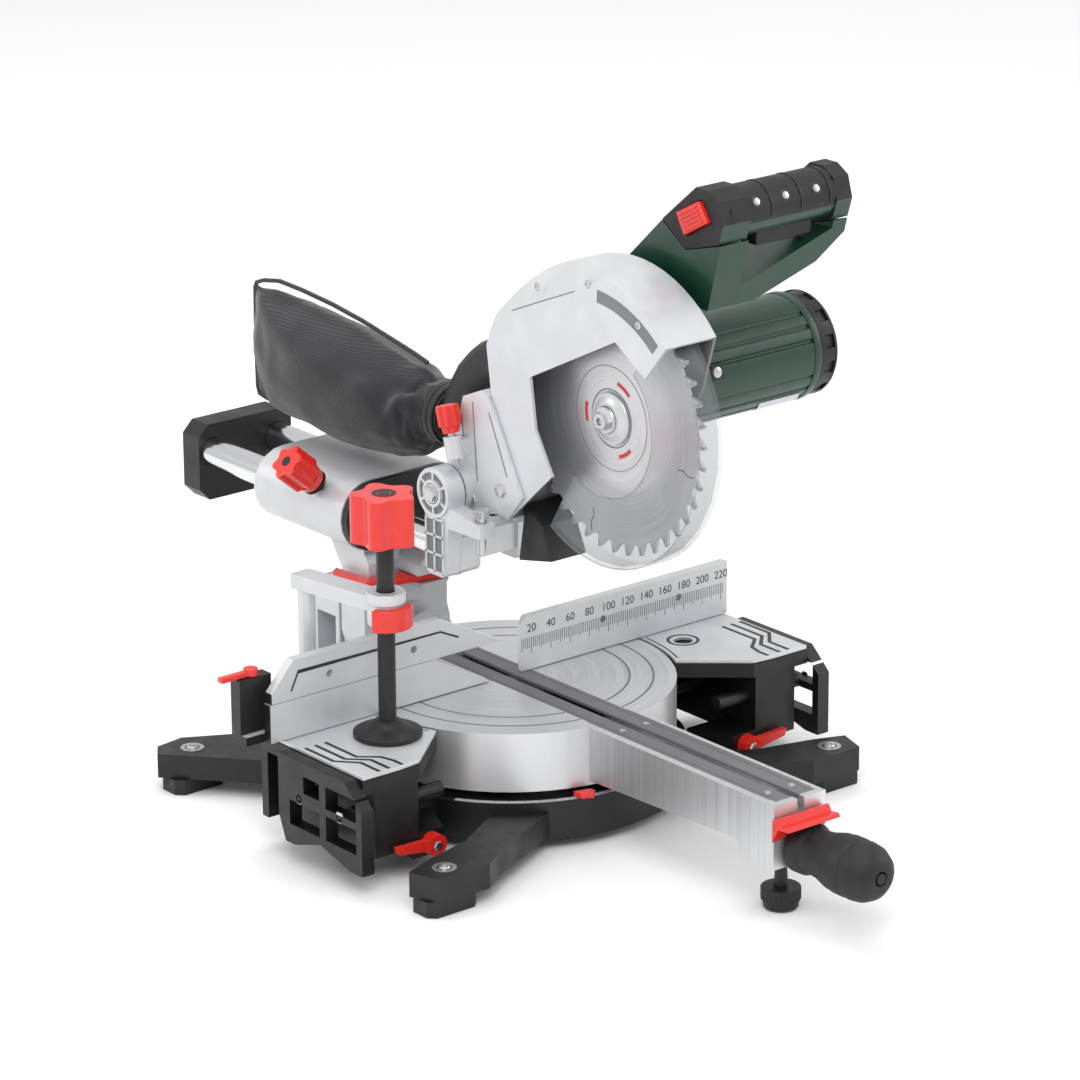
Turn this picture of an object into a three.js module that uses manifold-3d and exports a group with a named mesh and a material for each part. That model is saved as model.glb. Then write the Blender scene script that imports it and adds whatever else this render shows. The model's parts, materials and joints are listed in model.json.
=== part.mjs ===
// Sliding compound mitre saw for the bench, 216 mm blade, millimetres, +Z up.
// X runs to the operator's right, Y away from the operator. The origin is on the turntable's axis
// at bench height, so the fence face is the plane Y = 0 and the blade's plane is X = 0.
// The saw stands as left after a cut: head raised, carriage in the middle of its stroke.
import * as THREE from 'three';
import { mergeVertices } from 'three/addons/utils/BufferGeometryUtils.js';
import Module from 'manifold-3d';

const wasm = await Module();
wasm.setup();

// ---- driving dimensions ----
const GAP = 0.3; // running or resting gap between neighbouring pieces
const TABLE_Z = 94; // height of the table above the bench
const DISC_R = 131; // turntable
const WING_ARC_R = 134.6; // hollow edge of the fixed tables round the turntable
const ARM_X = [-27, 25]; // sides of the turntable's front arm
const ARM_END_Y = -342;
const SLOT_HALF = 3.5; // kerf slot
const FENCE_T = 8; // thickness of both fences
const FENCE_TOP = 139.5; // right fence
const FENCE_SPLIT = 126; // where the left sliding fence stands on the fixed one
const BLADE = { y: -124.6, z: 338.3, r: 108, bore: 15, half: 1.2, teeth: 40 };
const PIVOT = { y: 27.7, z: 251.6, r: 20 }; // hinge of the sawing head
const MOTOR = { y: -93.6, z: 349.3, r: 43, end: 228 }; // motor axis
const RAIL = { x: 33, z: 200.5, r: 12.5, front: 18, back: 373 };
const HOUSING = { front: 140, back: 257, r: 30 }; // rail guide casting
const BEVEL = { z: TABLE_Z, r: 43, front: 134, back: 165 }; // tilting disc
const GUARD = { left: -28, right: 22, r: 124, wall: 2.5 };
const GUARD_FACET = { normal: [-0.812, 0.2249, 0.5391], reach: 235.7 }; // sloping top of the guard
const LOWER_GUARD = { left: -13, right: 10, r: 116, wall: 2.2 };
const GRIP = { y: -188, z: 503, left: 36, right: 166 }; // bar of the operating handle
const CLAMP = { x: -156.4, y: -40.7 };
const CLAMP_POST = { x: 172, y: 40, r: 7 }; // either side

// ---- small modelling kit ----
const steel = { color: 0xb9bcc0, roughness: 0.3, metalness: 1 };
const casting = { color: 0xd2d3d5, roughness: 0.45, metalness: 0.35 };
const blackPlastic = { color: 0x17181a, roughness: 0.55, metalness: 0 };
const blackPaint = { color: 0x141416, roughness: 0.5, metalness: 0.1 };
const redPlastic = { color: 0xdd3a2c, roughness: 0.4, metalness: 0 };
const greenPlastic = { color: 0x1f4a3a, roughness: 0.45, metalness: 0 };
const softRubber = { color: 0x2b2c2e, roughness: 0.8, metalness: 0 };
const clearPlastic = { color: 0xe8ecee, roughness: 0.1, metalness: 0 };
const greyPlastic = { color: 0x6b6b6e, roughness: 0.6, metalness: 0 };
const fabric = { color: 0x2e2f33, roughness: 0.9, metalness: 0 };
const copper = { color: 0xa5673f, roughness: 0.4, metalness: 1 };

const meshes = [];

/** A closed three.js geometry as a solid that can be joined and cut. */
function solid(geometry) {
  geometry.deleteAttribute('normal');
  geometry.deleteAttribute('uv');
  const merged = mergeVertices(geometry, 1e-4);
  return new wasm.Manifold(new wasm.Mesh({
    numProp: 3,
    vertProperties: new Float32Array(merged.attributes.position.array),
    triVerts: new Uint32Array(merged.index.array),
  }));
}

/** Adds one finished solid to the model as a named mesh. */
function piece(name, shape, finish) {
  const data = shape.getMesh();
  const geometry = new THREE.BufferGeometry();
  geometry.setAttribute('position', new THREE.BufferAttribute(data.vertProperties, 3));
  geometry.setIndex(new THREE.BufferAttribute(data.triVerts, 1));
  geometry.computeVertexNormals();
  const mesh = new THREE.Mesh(geometry, new THREE.MeshStandardMaterial(finish));
  mesh.name = name;
  meshes.push(mesh);
}

const AXES = {
  x: new THREE.Matrix4().set(0, 0, 1, 0, 1, 0, 0, 0, 0, 1, 0, 0, 0, 0, 0, 1),
  y: new THREE.Matrix4().set(1, 0, 0, 0, 0, 0, -1, 0, 0, 1, 0, 0, 0, 0, 0, 1),
  z: new THREE.Matrix4(),
};

/** Prism along an axis: outline in (Y,Z), (X,Z) or (X,Y), holes the same way. */
function prism(axis, outline, from, to, holes = []) {
  const shape = new THREE.Shape(outline.map(([u, v]) => new THREE.Vector2(u, v)));
  const geometry = new THREE.ExtrudeGeometry(shape, { depth: to - from, bevelEnabled: false });
  geometry.translate(0, 0, axis === 'y' ? -to : from);
  geometry.applyMatrix4(AXES[axis]);
  return holes.reduce((whole, hole) => whole.subtract(prism(axis, hole, from - 1, to + 1)), solid(geometry));
}

/** Points of an arc, angles in degrees, ends included. */
function arc(cu, cv, r, fromDeg, toDeg, steps) {
  return Array.from({ length: steps + 1 }, (_, i) => {
    const a = THREE.MathUtils.degToRad(fromDeg + ((toDeg - fromDeg) * i) / steps);
    return [cu + r * Math.cos(a), cv + r * Math.sin(a)];
  });
}

/** Full circle as a closed outline. */
function circle(cu, cv, r, sides = 24) {
  return arc(cu, cv, r, 0, 360 - 360 / sides, sides - 1);
}

/** Round bar along an axis. */
function bar(axis, cu, cv, r, from, to, sides = 24) {
  return prism(axis, circle(cu, cv, r, sides), from, to);
}

/** Round tube along an axis. */
function tube(axis, cu, cv, rOut, rIn, from, to, sides = 24) {
  return prism(axis, circle(cu, cv, rOut, sides), from, to, [circle(cu, cv, rIn, sides)]);
}

/** Rectangle outline with cut corners. */
function plate(u0, u1, v0, v1, c = 0) {
  if (c === 0) return [[u0, v0], [u1, v0], [u1, v1], [u0, v1]];
  return [[u0 + c, v0], [u1 - c, v0], [u1, v0 + c], [u1, v1 - c],
    [u1 - c, v1], [u0 + c, v1], [u0, v1 - c], [u0, v0 + c]];
}

/** Block between two corners. */
function block(x0, x1, y0, y1, z0, z1) {
  return prism('z', plate(x0, x1, y0, y1), z0, z1);
}

/** Joins any number of solids. */
function join(...parts) {
  return parts.reduce((whole, part) => whole.add(part));
}

/** Takes any number of solids out of the first. */
function cut(whole, ...tools) {
  return tools.reduce((rest, tool) => rest.subtract(tool), whole);
}

/** Solid moved by a three.js matrix. */
function place(geometry, matrix) {
  return solid(geometry.applyMatrix4(matrix));
}

/** Cylinder between two points in space. */
function rod(from, to, r, sides = 16) {
  const a = new THREE.Vector3(...from);
  const b = new THREE.Vector3(...to);
  const geometry = new THREE.CylinderGeometry(r, r, a.distanceTo(b), sides);
  const turn = new THREE.Quaternion().setFromUnitVectors(
    new THREE.Vector3(0, 1, 0), b.clone().sub(a).normalize());
  const middle = a.clone().add(b).multiplyScalar(0.5);
  return place(geometry, new THREE.Matrix4().compose(middle, turn, new THREE.Vector3(1, 1, 1)));
}

/** Mirrors an outline from the left of the saw to the right. */
const mirrored = (outline) => outline.map(([x, y]) => [-x, y]).reverse();

// ---- base: casting, fixed tables, fences ----
const SLAB = { bottom: 79, top: 90.7 };
const wingArc = arc(0, 0, WING_ARC_R, 176.5, 205, 5);
const wingLeft = [...wingArc, [-170, -98], [-190, -100], [-226, -100], [-226, 8.2]];
const fenceFoot = plate(-226, -128, 8.2, 30);
const wingRight = mirrored(wingLeft);
const footFront = [[-222, -150], [-214, -176], [-165, -176], [-140, -160], [-64, -124], [-96, -96],
  [-150, -128], [-196, -140]];
const footRear = [[-226, 172], [-216, 186], [-190, 190], [-150, 168], [-92, 110], [-112, 84], [-160, 96]];

function wingFrame(side) {
  const turned = side < 0 ? (o) => o : mirrored;
  const slab = join(prism('z', turned(wingLeft), SLAB.bottom, SLAB.top),
    prism('z', turned(fenceFoot), SLAB.bottom, TABLE_Z));
  const x = (value) => (side < 0 ? value : -value);
  const walls = [
    turned([[-214, -98], [-172, -98], [-172, -92], [-214, -92]]),
    turned([[-180, -92], [-172, -92], [-172, 30], [-180, 30]]),
    turned([[-214, -92], [-206, -92], [-206, 30], [-214, 30]]),
    turned([[-226, 22], [-128, 22], [-128, 30], [-226, 30]]),
  ].map((outline) => prism('z', outline, 24, SLAB.bottom + 1));
  const slots = [-34, -85].map((y) => bar('x', y, 60, 6.6, Math.min(x(-240), x(-60)),
    Math.max(x(-240), x(-60)), 12));
  const tab = prism('z', turned([[-178, -98], [-148, -98], [-132, -60], [-172, -60]]), 14, 34);
  const web = prism('z', turned([[-180, 22], [-128, 22], [-112, 60], [-122, 96], [-150, 96]]), 14, 32);
  const socket = bar('z', side * CLAMP_POST.x, CLAMP_POST.y, 13, 50, TABLE_Z, 16);
  return cut(join(slab, ...walls, tab, web, socket), ...slots,
    bar('z', side * CLAMP_POST.x, CLAMP_POST.y, CLAMP_POST.r + 0.4, 60, TABLE_Z + 1, 16));
}

const ringBody = cut(bar('z', 0, 0, 140, 8, 40, 40), bar('z', 0, 0, 112, 0, 50, 32));
const spokes = [45, 135, 225, 315].map((deg) => {
  const a = THREE.MathUtils.degToRad(deg);
  const [c, s] = [Math.cos(a), Math.sin(a)];
  const at = (along, side) => [c * along - s * side, s * along + c * side];
  return prism('z', [at(20, -9), at(120, -9), at(120, 9), at(20, 9)], 8, 34);
});
const feet = [footFront, mirrored(footFront), footRear, mirrored(footRear)].map(
  (outline) => prism('z', outline, 12, 32));
const pads = [[-196, -160], [196, -160], [-196, 166], [196, 166]].map(
  ([x, y]) => prism('z', plate(x - 24, x + 24, y - 14, y + 14, 6), 0, 12.5));
const hub = bar('z', 0, 0, 32, 0, 34);
const centrePin = bar('z', 0, 0, 14, 30, 70);
const leverHoles = [-161.3, 161.3].map((x) => bar('y', x, 24.2, 4.3, -104, -84, 12));
const casting1 = cut(join(ringBody, hub, ...spokes, ...feet, ...pads, wingFrame(-1), wingFrame(1)),
  ...leverHoles, bar('z', 0, 0, WING_ARC_R, 40.5, 100, 48));
piece('base_casting', join(casting1, centrePin), blackPaint);

const plateLeft = [...arc(0, 0, WING_ARC_R, 180, 205, 5), [-170, -97.6], [-190, -99.6], [-225.6, -99.6],
  [-225.6, 0.2], [-225.6, 7.8], [-134.4, 7.8]];
piece('table_plate_left', prism('z', plateLeft, SLAB.top + GAP, TABLE_Z), casting);
piece('table_plate_right', cut(prism('z', mirrored(plateLeft), SLAB.top + GAP, TABLE_Z),
  bar('z', 157.3, -25.6, 8, 85, 99, 16)), casting);

const FENCE_Z = TABLE_Z + 0.6;
const fenceSeat = (x0, x1) => block(x0, x1, 7.5, 26.5, FENCE_Z, FENCE_Z + 7);
const rib = (x, height) => prism('x', [[7.5, FENCE_Z], [26, FENCE_Z], [7.5, FENCE_Z + height]], x - 3, x + 3);
piece('fence_fixed_left', join(
  prism('y', [[-238.4, FENCE_Z], [-22.8, FENCE_Z], [-78, FENCE_SPLIT - GAP], [-238.4, FENCE_SPLIT - GAP]],
    0, FENCE_T),
  fenceSeat(-256, -140), rib(-146, 10), block(-256, -226, 14.6, 26.5, FENCE_Z, 146)), casting);
piece('fence_right', cut(join(
  prism('y', [[10, FENCE_Z], [227, FENCE_Z], [227, FENCE_TOP], [14, FENCE_TOP], [7, FENCE_TOP - 6],
    [7, FENCE_Z + 2]], 0, FENCE_T), fenceSeat(140, 226), rib(146, 26), rib(220, 26)),
prism('z', [[5, 0], [17.5, 8.4], [5, 8.4]], 90, 150),
...[94.2, 174.5].map((x) => bar('y', x, 120, 3, -1, 9, 12))), casting);
piece('fence_slide_left', cut(join(
  prism('y', [[-237, FENCE_SPLIT], [-9.2, FENCE_SPLIT], [-72.3, 158.3], [-215.6, 158.3], [-237, 134.6]],
    0, FENCE_T),
  block(-215, -90, FENCE_T - 0.5, 14, FENCE_SPLIT + 2, 152),
  block(-200, -100, FENCE_T + GAP, 14, 106, 130)),
...[-180.6, -98.4].map((x) => bar('y', x, 138.8, 3, -1, 15, 12))), casting);
piece('fence_lock_lever', join(bar('z', -241, 20.6, 5.8, 146.4, 152, 16),
  block(-270, -241, 17.6, 23.6, 146.4, 150.5)), redPlastic);

// ---- pull-out table ends ----
function tableEnd(side) {
  const frame = prism('x', [[-113, 20], [-98, 20], [-60, 30], [-28, 20], [-16, 20], [-8, 40], [-8, 90.7],
    [-92, 90.7], [-100, 84], [-113, 72]], 226 + GAP, 238,
  [plate(-106, -68, 36, 56), plate(-106, -68, 62, 80), plate(-60, -22, 36, 56), plate(-60, -40, 66, 80)]);
  const rods = [-34, -85].map((y) => bar('x', y, 60, 6, y < -50 ? 141 : 130, 227, 16));
  const shape = join(frame, ...rods);
  return side > 0 ? shape : shape.mirror([1, 0, 0]);
}
function tableLever(side) {
  const shape = join(bar('y', 161.3, 24.2, 9, -108, -98 - GAP, 20), bar('y', 161.3, 24.2, 4, -99, -88, 12),
    prism('y', [[161, 19.5], [197, 25], [199, 31], [161, 29.5]], -106, -101));
  return side > 0 ? shape : shape.mirror([1, 0, 0]);
}
piece('table_end_left', tableEnd(-1), blackPaint);
piece('table_end_right', tableEnd(1), blackPaint);
piece('table_lever_left', tableLever(-1), redPlastic);
piece('table_lever_right', tableLever(1), redPlastic);

// ---- work clamp ----
const armTop = 208;
piece('clamp_holder', cut(join(
  bar('z', -CLAMP_POST.x, CLAMP_POST.y, CLAMP_POST.r, 62, armTop, 16),
  prism('z', [[-CLAMP_POST.x - 9, CLAMP_POST.y + 8], [CLAMP.x - 10, CLAMP.y], [CLAMP.x + 10, CLAMP.y],
    [-CLAMP_POST.x + 9, CLAMP_POST.y + 8]], 196, armTop),
  bar('z', CLAMP.x, CLAMP.y, 14, 186, 212, 20)),
bar('z', CLAMP.x, CLAMP.y, 7.4, 180, 220, 16)), casting);
piece('clamp_spindle', join(bar('z', CLAMP.x, CLAMP.y, 7, 100, 250, 16),
  bar('z', CLAMP.x, CLAMP.y, 27, TABLE_Z + GAP, 100, 24)), blackPaint);
const lobes = Array.from({ length: 32 }, (_, i) => {
  const a = (i / 32) * Math.PI * 2;
  const r = 23 + 3.5 * Math.cos(4 * a);
  return [CLAMP.x + r * Math.cos(a), CLAMP.y + r * Math.sin(a)];
});
piece('clamp_knob', prism('z', lobes, 250 + GAP, 291), redPlastic);
piece('clamp_release', prism('z', [...arc(CLAMP.x, CLAMP.y, 21, 200, 320, 8),
  ...arc(CLAMP.x, CLAMP.y, 14 + GAP + 0.3, 320, 200, 8)], 184, 202), redPlastic);

// ---- turntable with its arm ----
const arm = prism('x', [[-100, 46], [-138, 50], [-300, 55], [-308, 42], [ARM_END_Y, 42],
  [ARM_END_Y, TABLE_Z], [-100, TABLE_Z]], ...ARM_X);
const armHollow = block(ARM_X[0] + 6, ARM_X[1] - 6, -296, -132, 40, TABLE_Z - 10);
const armPocket = block(ARM_X[0] + 7, ARM_X[1] - 7, -336, -316, 66, TABLE_Z - 10);
const bevelBridge = join(block(-45, 45, 108, 205, 41, 48), block(-45, 45, 143, 205, 34, 48));
const bevelLug = prism('y', [[-26, 60], [26, 60], ...arc(0, BEVEL.z, 26, 0, 180, 12)], 108, 131);
const insertPocket = block(-20, 20, -336, 70, TABLE_Z - 3, TABLE_Z + 1);
const kerf = block(-SLOT_HALF, SLOT_HALF, -350, 96, TABLE_Z - 14, TABLE_Z + 1);
const dustChannel = block(-12, 12, -335, 69, TABLE_Z - 14, TABLE_Z); // open below the inserts, between their ledges
const fenceRelief = block(-DISC_R - 1, DISC_R + 1, -0.5, 9, TABLE_Z - 0.5, TABLE_Z + 1);
const lug = join(bevelBridge, bevelLug);
const disc = cut(bar('z', 0, 0, DISC_R, 46, TABLE_Z, 56),
  cut(bar('z', 0, 0, DISC_R - 6, 40, TABLE_Z - 8, 48), tube('z', 0, 0, 24, 14.5, 30, TABLE_Z, 24)));
piece('turntable', cut(join(disc, arm, lug), armHollow, insertPocket, kerf, dustChannel, fenceRelief,
  bar('y', 0, BEVEL.z, 12 + GAP, 90, 140, 20), bar('y', 0, BEVEL.z, 15 + GAP, 99, 108.3, 20),
  bar('y', 0, 56.5, 8.4, -350, -330, 16),
  bar('z', -1, -322, 5.3, 30, 72, 12),
  bar('z', 0, 0, 14.4, 40, 78, 24)), casting);
const stripes = [[-20 + GAP, -SLOT_HALF - 0.5], [SLOT_HALF + 0.5, 20 - GAP]];
stripes.forEach(([x0, x1], i) => piece(i ? 'kerf_insert_right' : 'kerf_insert_left',
  block(x0, x1, -335.7, 69.7, TABLE_Z - 3 + GAP, TABLE_Z), greyPlastic));
piece('mitre_pointer', prism('z', [[-44, -129], [-30, -132.6], [-29, -138], [-34, -142], [-43, -137]],
  41, 45.6), redPlastic);
piece('bevel_yoke', cut(prism('y', [[-45, 48 + GAP], [45, 48 + GAP], [45, 122], [36, 133], [-36, 133],
  [-45, 124]], BEVEL.back + 3, 205),
bar('y', 0, BEVEL.z, 12 + GAP, 150, 220, 20), block(-50, -22, 174, 198, 60, 106)), casting);
piece('bevel_shaft', join(bar('y', 0, BEVEL.z, 12, 106, 214, 20), bar('y', 0, BEVEL.z, 15, 101, 108, 20)),
  steel);
piece('arm_foot', join(bar('z', -1, -322, 5, 12, 64, 12), bar('z', -1, -322, 15.5, 0.4, 17, 20)),
  blackPlastic);
const gripRings = [[0, -431], [7, -431], [18, -427], [23.5, -412], [23.5, -392], [17, -366], [20.5, -356],
  [20.5, -344], [8, -344], [8, -334.5], [0, -334.5]];
piece('mitre_grip', place(new THREE.LatheGeometry(gripRings.map(([r, y]) => new THREE.Vector2(r, y)), 24),
  new THREE.Matrix4().makeTranslation(0, 0, 56.5)), blackPlastic);
piece('detent_lever', cut(prism('x', [[-343.5, 66], [-343.5, 84], [-349, 86], [-352, 81], [-360, 82],
  [-362, 79], [-350, 78]], -30, 22),
bar('y', 0, 56.5, 21.2, -365, -340, 24)), redPlastic);

// ---- bevel arm with the rail guides ----
const railHoles = [-1, 1].map((s) => bar('y', s * RAIL.x, RAIL.z, RAIL.r + 0.5, 120, 280, 24));
const stadium = (r, grow = 0) => [...arc(RAIL.x, RAIL.z, r + grow, -90, 90, 10),
  ...arc(-RAIL.x, RAIL.z, r + grow, 90, 270, 10)];
const tiltDisc = prism('y', [...arc(0, BEVEL.z, BEVEL.r, -90, 130, 16), [-45, 131], [-45, 98],
  ...arc(0, BEVEL.z, BEVEL.r, 185, 255, 4)],
  BEVEL.front, BEVEL.back);
const column = prism('x', [[BEVEL.front, 94], [BEVEL.back, 94], [BEVEL.back, 142], [188, 176], [214, 200],
  [HOUSING.front, 200], [HOUSING.front, 169], [BEVEL.front, 160]], -40, 40);
const lobe = bar('y', 6, 152, 17, 106, BEVEL.front + 1, 20);
const lockStem = [[-33, 176, 200.5], [-59, 176, 222.5]];
piece('bevel_arm', cut(join(tiltDisc, column, lobe, prism('y', stadium(HOUSING.r), HOUSING.front, HOUSING.back)),
  ...railHoles, bar('y', 0, BEVEL.z, 12 + GAP, 120, 180, 20),
  block(-60, 60, 98, 133.4, 143.4, 151.2),
  rod(lockStem[0], [-63, 176, 226], 4.4, 12)), casting);
piece('rail_guide_plate', prism('y', stadium(HOUSING.r, -1), BEVEL.front - 1, HOUSING.front - GAP,
  [-1, 1].map((s) => circle(s * RAIL.x, RAIL.z, RAIL.r + 0.5))), blackPlastic);
const lockKnob = { inner: [-62, 176, 225.2], outer: [-89, 176, 248.15] };
piece('rail_lock_knob', join(rod([-44, 176, 209.8], [-64, 176, 226.8], 4, 12),
  rod(lockKnob.inner, lockKnob.outer, 15, 12)), redPlastic);
piece('bevel_stop_lever', prism('z', [[-54, 164], [-46, 170], [-42, 133], [46, 120], [32, 104], [-30, 117],
  [-50, 124]], 144, 150.5), redPlastic);
piece('bevel_lock_lever', join(bar('y', 0, BEVEL.z, 15, 214 + GAP, 228, 20),
  prism('y', [[-6, 94], [6, 94], [66, 52], [62, 44], [52, 46]], 216, 226)), blackPlastic);

// ---- carriage: rails, rear cap, head carrier ----
piece('rail_left', bar('y', -RAIL.x, RAIL.z, RAIL.r, RAIL.front, RAIL.back, 24), steel);
piece('rail_right', bar('y', RAIL.x, RAIL.z, RAIL.r, RAIL.front, RAIL.back, 24), steel);
const capBores = [-1, 1].map((s) => bar('y', s * RAIL.x, RAIL.z, RAIL.r + GAP, 350, RAIL.back + GAP, 24));
piece('rail_end_cap', cut(prism('y', plate(-48, 48, 159, 225, 10), 355, 378), ...capBores), blackPlastic);
const ear = (x0, x1) => prism('x', [[15, 186], [38, 186], [38, 230], ...arc(PIVOT.y, PIVOT.z, PIVOT.r + 0.5, -40, 190, 14)],
  x0, x1);
const clampBlock = (x0, x1) => prism('x', plate(15, 40, 183, 218, 4), x0, x1);
const carrierBores = [-1, 1].map((s) => bar('y', s * RAIL.x, RAIL.z, RAIL.r + GAP, RAIL.front - GAP, 60, 24));
piece('head_carrier', cut(join(ear(-55, -40), ear(40, 55), clampBlock(-54, -19), clampBlock(19, 54),
  block(-20, 20, 18, 40, 192, 214), prism('x', [[-30, 227], [-30, 238], [14, 244], [14, 226]], -55, -40)),
...carrierBores, bar('x', PIVOT.y, PIVOT.z, 8 + GAP, -60, 60, 20),
bar('z', -47.5, -22, 4.4, 220, 250, 12)), casting);
piece('head_pivot_pin', bar('x', PIVOT.y, PIVOT.z, 8, -58, 58, 20), steel);
piece('depth_stop_screw', join(bar('z', -47.5, -22, 4, 212, 243, 12), bar('z', -47.5, -22, 7, 243, 249, 6)),
  steel);
class Helix extends THREE.Curve {
  getPoint(t) {
    const a = t * 5 * Math.PI * 2;
    return new THREE.Vector3(-32 + 30 * t, PIVOT.y + 11 * Math.cos(a), PIVOT.z + 11 * Math.sin(a));
  }
}
const wire = new THREE.Shape(circle(0, 0, 1.3, 5).map(([u, v]) => new THREE.Vector2(u, v)));
piece('head_spring', solid(new THREE.ExtrudeGeometry(wire, { steps: 45, bevelEnabled: false,
  extrudePath: new Helix() })), steel);

// ---- sawing head: guard, gear casing, motor ----
const guardBack = [[-6, 374.6], [-12, 332], [-33, 239.5]];
const guardArc = (r, from, to, n) => arc(BLADE.y, BLADE.z, r, from, to, n);
const outer = [...guardArc(GUARD.r, 139, 17, 22), ...guardBack];
const inner = [...guardArc(GUARD.r - GUARD.wall, 150, 17.4, 22), [-14.6, 332], [-36, 232], [-120, 232],
  [-260, 330]];
const cPlate = [...outer, [-85, 287], [-65, 320], [-59, 361], [-160, 412], [-195, 391]].reverse();
const backPlate = [...outer, [-60, 262], [-98, 296], [-152, 296], [-205, 376]].reverse();
const underFacet = (shape, inset) => shape.trimByPlane(GUARD_FACET.normal.map((v) => -v), inset - GUARD_FACET.reach);
const shell = cut(prism('x', [...outer, [-85, 287], [-120, 330]].reverse(), GUARD.left, GUARD.right),
  underFacet(prism('x', inner.reverse(), GUARD.left - 1, GUARD.right + 1), GUARD.wall));
piece('upper_guard', underFacet(cut(join(shell, prism('x', cPlate, GUARD.left, GUARD.left + GUARD.wall),
  prism('x', backPlate, GUARD.right - GUARD.wall, GUARD.right)),
bar('x', BLADE.y, BLADE.z, 25, 10, 30, 28),
prism('x', circle(-14, 352, 14, 16), -6, 22)), 0), casting);

const offsetBack = [[-10.8, 335], [-31.6, 243.4]];
const web = prism('x', [[-18, 300], [12, 300], [32, 268], [22, 234], [-30.6, 243.6]], -31, 38);
const bracket = prism('x', [offsetBack[0], [-3, 338], [20, 328], [33, 289], [46, 258], [24, 232],
  offsetBack[1]], -31, -12);
const cheek = prism('x', [[-10.8, 334], [-17, 325], [-52, 262], [-34, 240], [-20, 243], [0, 300]],
  -31, GUARD.left - GAP);
const boom = prism('x', [[36, 268], [-60, 374], [-110, 310], [-40, 250], [20, 233]], GUARD.right + GAP + 0.7, 38);
const gearCan = join(bar('x', BLADE.y, BLADE.z, 33, 23, 46, 32), bar('x', MOTOR.y, MOTOR.z, 46, 23, 46, 36));
const gearRoom = join(bar('x', BLADE.y, BLADE.z, 27, 28, 47, 28), bar('x', MOTOR.y, MOTOR.z, 13, 28, 47, 20),
  block(28, 47, BLADE.y, MOTOR.y, BLADE.z - 12, BLADE.z + 12));
const lockSeat = join(rod([-41, 17, 280], [-41, 21.5, 297], 7.5, 16), block(-41, -30, 13, 24, 282, 295));
piece('gear_casing', cut(join(bar('x', PIVOT.y, PIVOT.z, PIVOT.r, -38, 38, 28), bracket, cheek, web, boom, gearCan,
  lockSeat, bar('x', BLADE.y, BLADE.z, 24, 7.2, 24, 28)),
gearRoom, bar('x', BLADE.y, BLADE.z, 16 + GAP, 9.2, 30, 24), bar('x', BLADE.y, BLADE.z, 10, 0, 12, 20),
bar('x', PIVOT.y, PIVOT.z, 14, -39, 8, 24), bar('x', PIVOT.y, PIVOT.z, 8 + GAP, 0, 40, 20),
rod([-41, 16.5, 272.5], [-41, 24.7, 308], 3.5, 12)), casting);

const flange = join(bar('x', MOTOR.y, MOTOR.z, 47, 46 + GAP, 56, 36), bar('x', BLADE.y, BLADE.z, 34, 46 + GAP, 50, 32));
const bodyTube = join(bar('x', MOTOR.y, MOTOR.z, MOTOR.r, 46 + GAP, 205, 36), flange);
const motorRoom = cut(bar('x', MOTOR.y, MOTOR.z, MOTOR.r - 4, 50.4, 206, 32),
  tube('x', MOTOR.y, MOTOR.z, 17, 11 + GAP, 50, 59, 20));
piece('motor_housing', cut(bodyTube, motorRoom, bar('x', MOTOR.y, MOTOR.z, 7, 40, 60, 16)), greenPlastic);
const capShell = join(bar('x', MOTOR.y, MOTOR.z, 42, 205 + GAP, 222, 36),
  bar('x', MOTOR.y, MOTOR.z, 37, 221, MOTOR.end, 36));
piece('motor_end_cap', cut(capShell, cut(bar('x', MOTOR.y, MOTOR.z, 38, 204, 219, 32),
  tube('x', MOTOR.y, MOTOR.z, 17, 11 + GAP, 208, 219.5, 20))), blackPlastic);
piece('stator', tube('x', MOTOR.y, MOTOR.z, 38.5, 26, 95, 150, 28), steel);
piece('armature', join(bar('x', MOTOR.y, MOTOR.z, 4.5, 30, 217, 16), bar('x', MOTOR.y, MOTOR.z, 25, 97, 148, 28),
  bar('x', MOTOR.y, MOTOR.z, 13, 165, 186, 20), bar('x', MOTOR.y, MOTOR.z, 34, 66, 76, 28),
  bar('x', MOTOR.y, MOTOR.z, 6.8, 31, 41, 14)), copper);
piece('motor_bearing_front', tube('x', MOTOR.y, MOTOR.z, 11, 4.9, 51, 58, 20), steel);
piece('motor_bearing_rear', tube('x', MOTOR.y, MOTOR.z, 11, 4.9, 209, 217, 20), steel);
piece('spindle_bearing', tube('x', BLADE.y, BLADE.z, 16, 8.4, 9.6, 20, 20), steel);

// ---- blade and spindle ----
piece('spindle', join(bar('x', BLADE.y, BLADE.z, 8, -6, 44, 20), bar('x', BLADE.y, BLADE.z, BLADE.bore, -1, 2, 28),
  bar('x', BLADE.y, BLADE.z, 21, 1.6, 6, 24)), steel);
piece('gear_wheel', tube('x', BLADE.y, BLADE.z, 25.9, 8 + GAP, 31, 40, 32), steel);
const toothed = Array.from({ length: BLADE.teeth }, (_, i) => {
  const step = 360 / BLADE.teeth;
  return [[BLADE.r, 0], [BLADE.r - 2, 0.25 * step], [BLADE.r - 9, 0.62 * step], [BLADE.r - 9, 0.95 * step]].map(
    ([r, turn]) => {
      const a = THREE.MathUtils.degToRad(-(i * step + turn));
      return [BLADE.y + r * Math.cos(a), BLADE.z + r * Math.sin(a)];
    });
}).flat().reverse();
piece('saw_blade', prism('x', toothed, -BLADE.half, BLADE.half, [circle(BLADE.y, BLADE.z, BLADE.bore + GAP)]), steel);
piece('outer_flange', tube('x', BLADE.y, BLADE.z, 23, 8 + GAP, -6, -BLADE.half - GAP, 28), steel);
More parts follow.
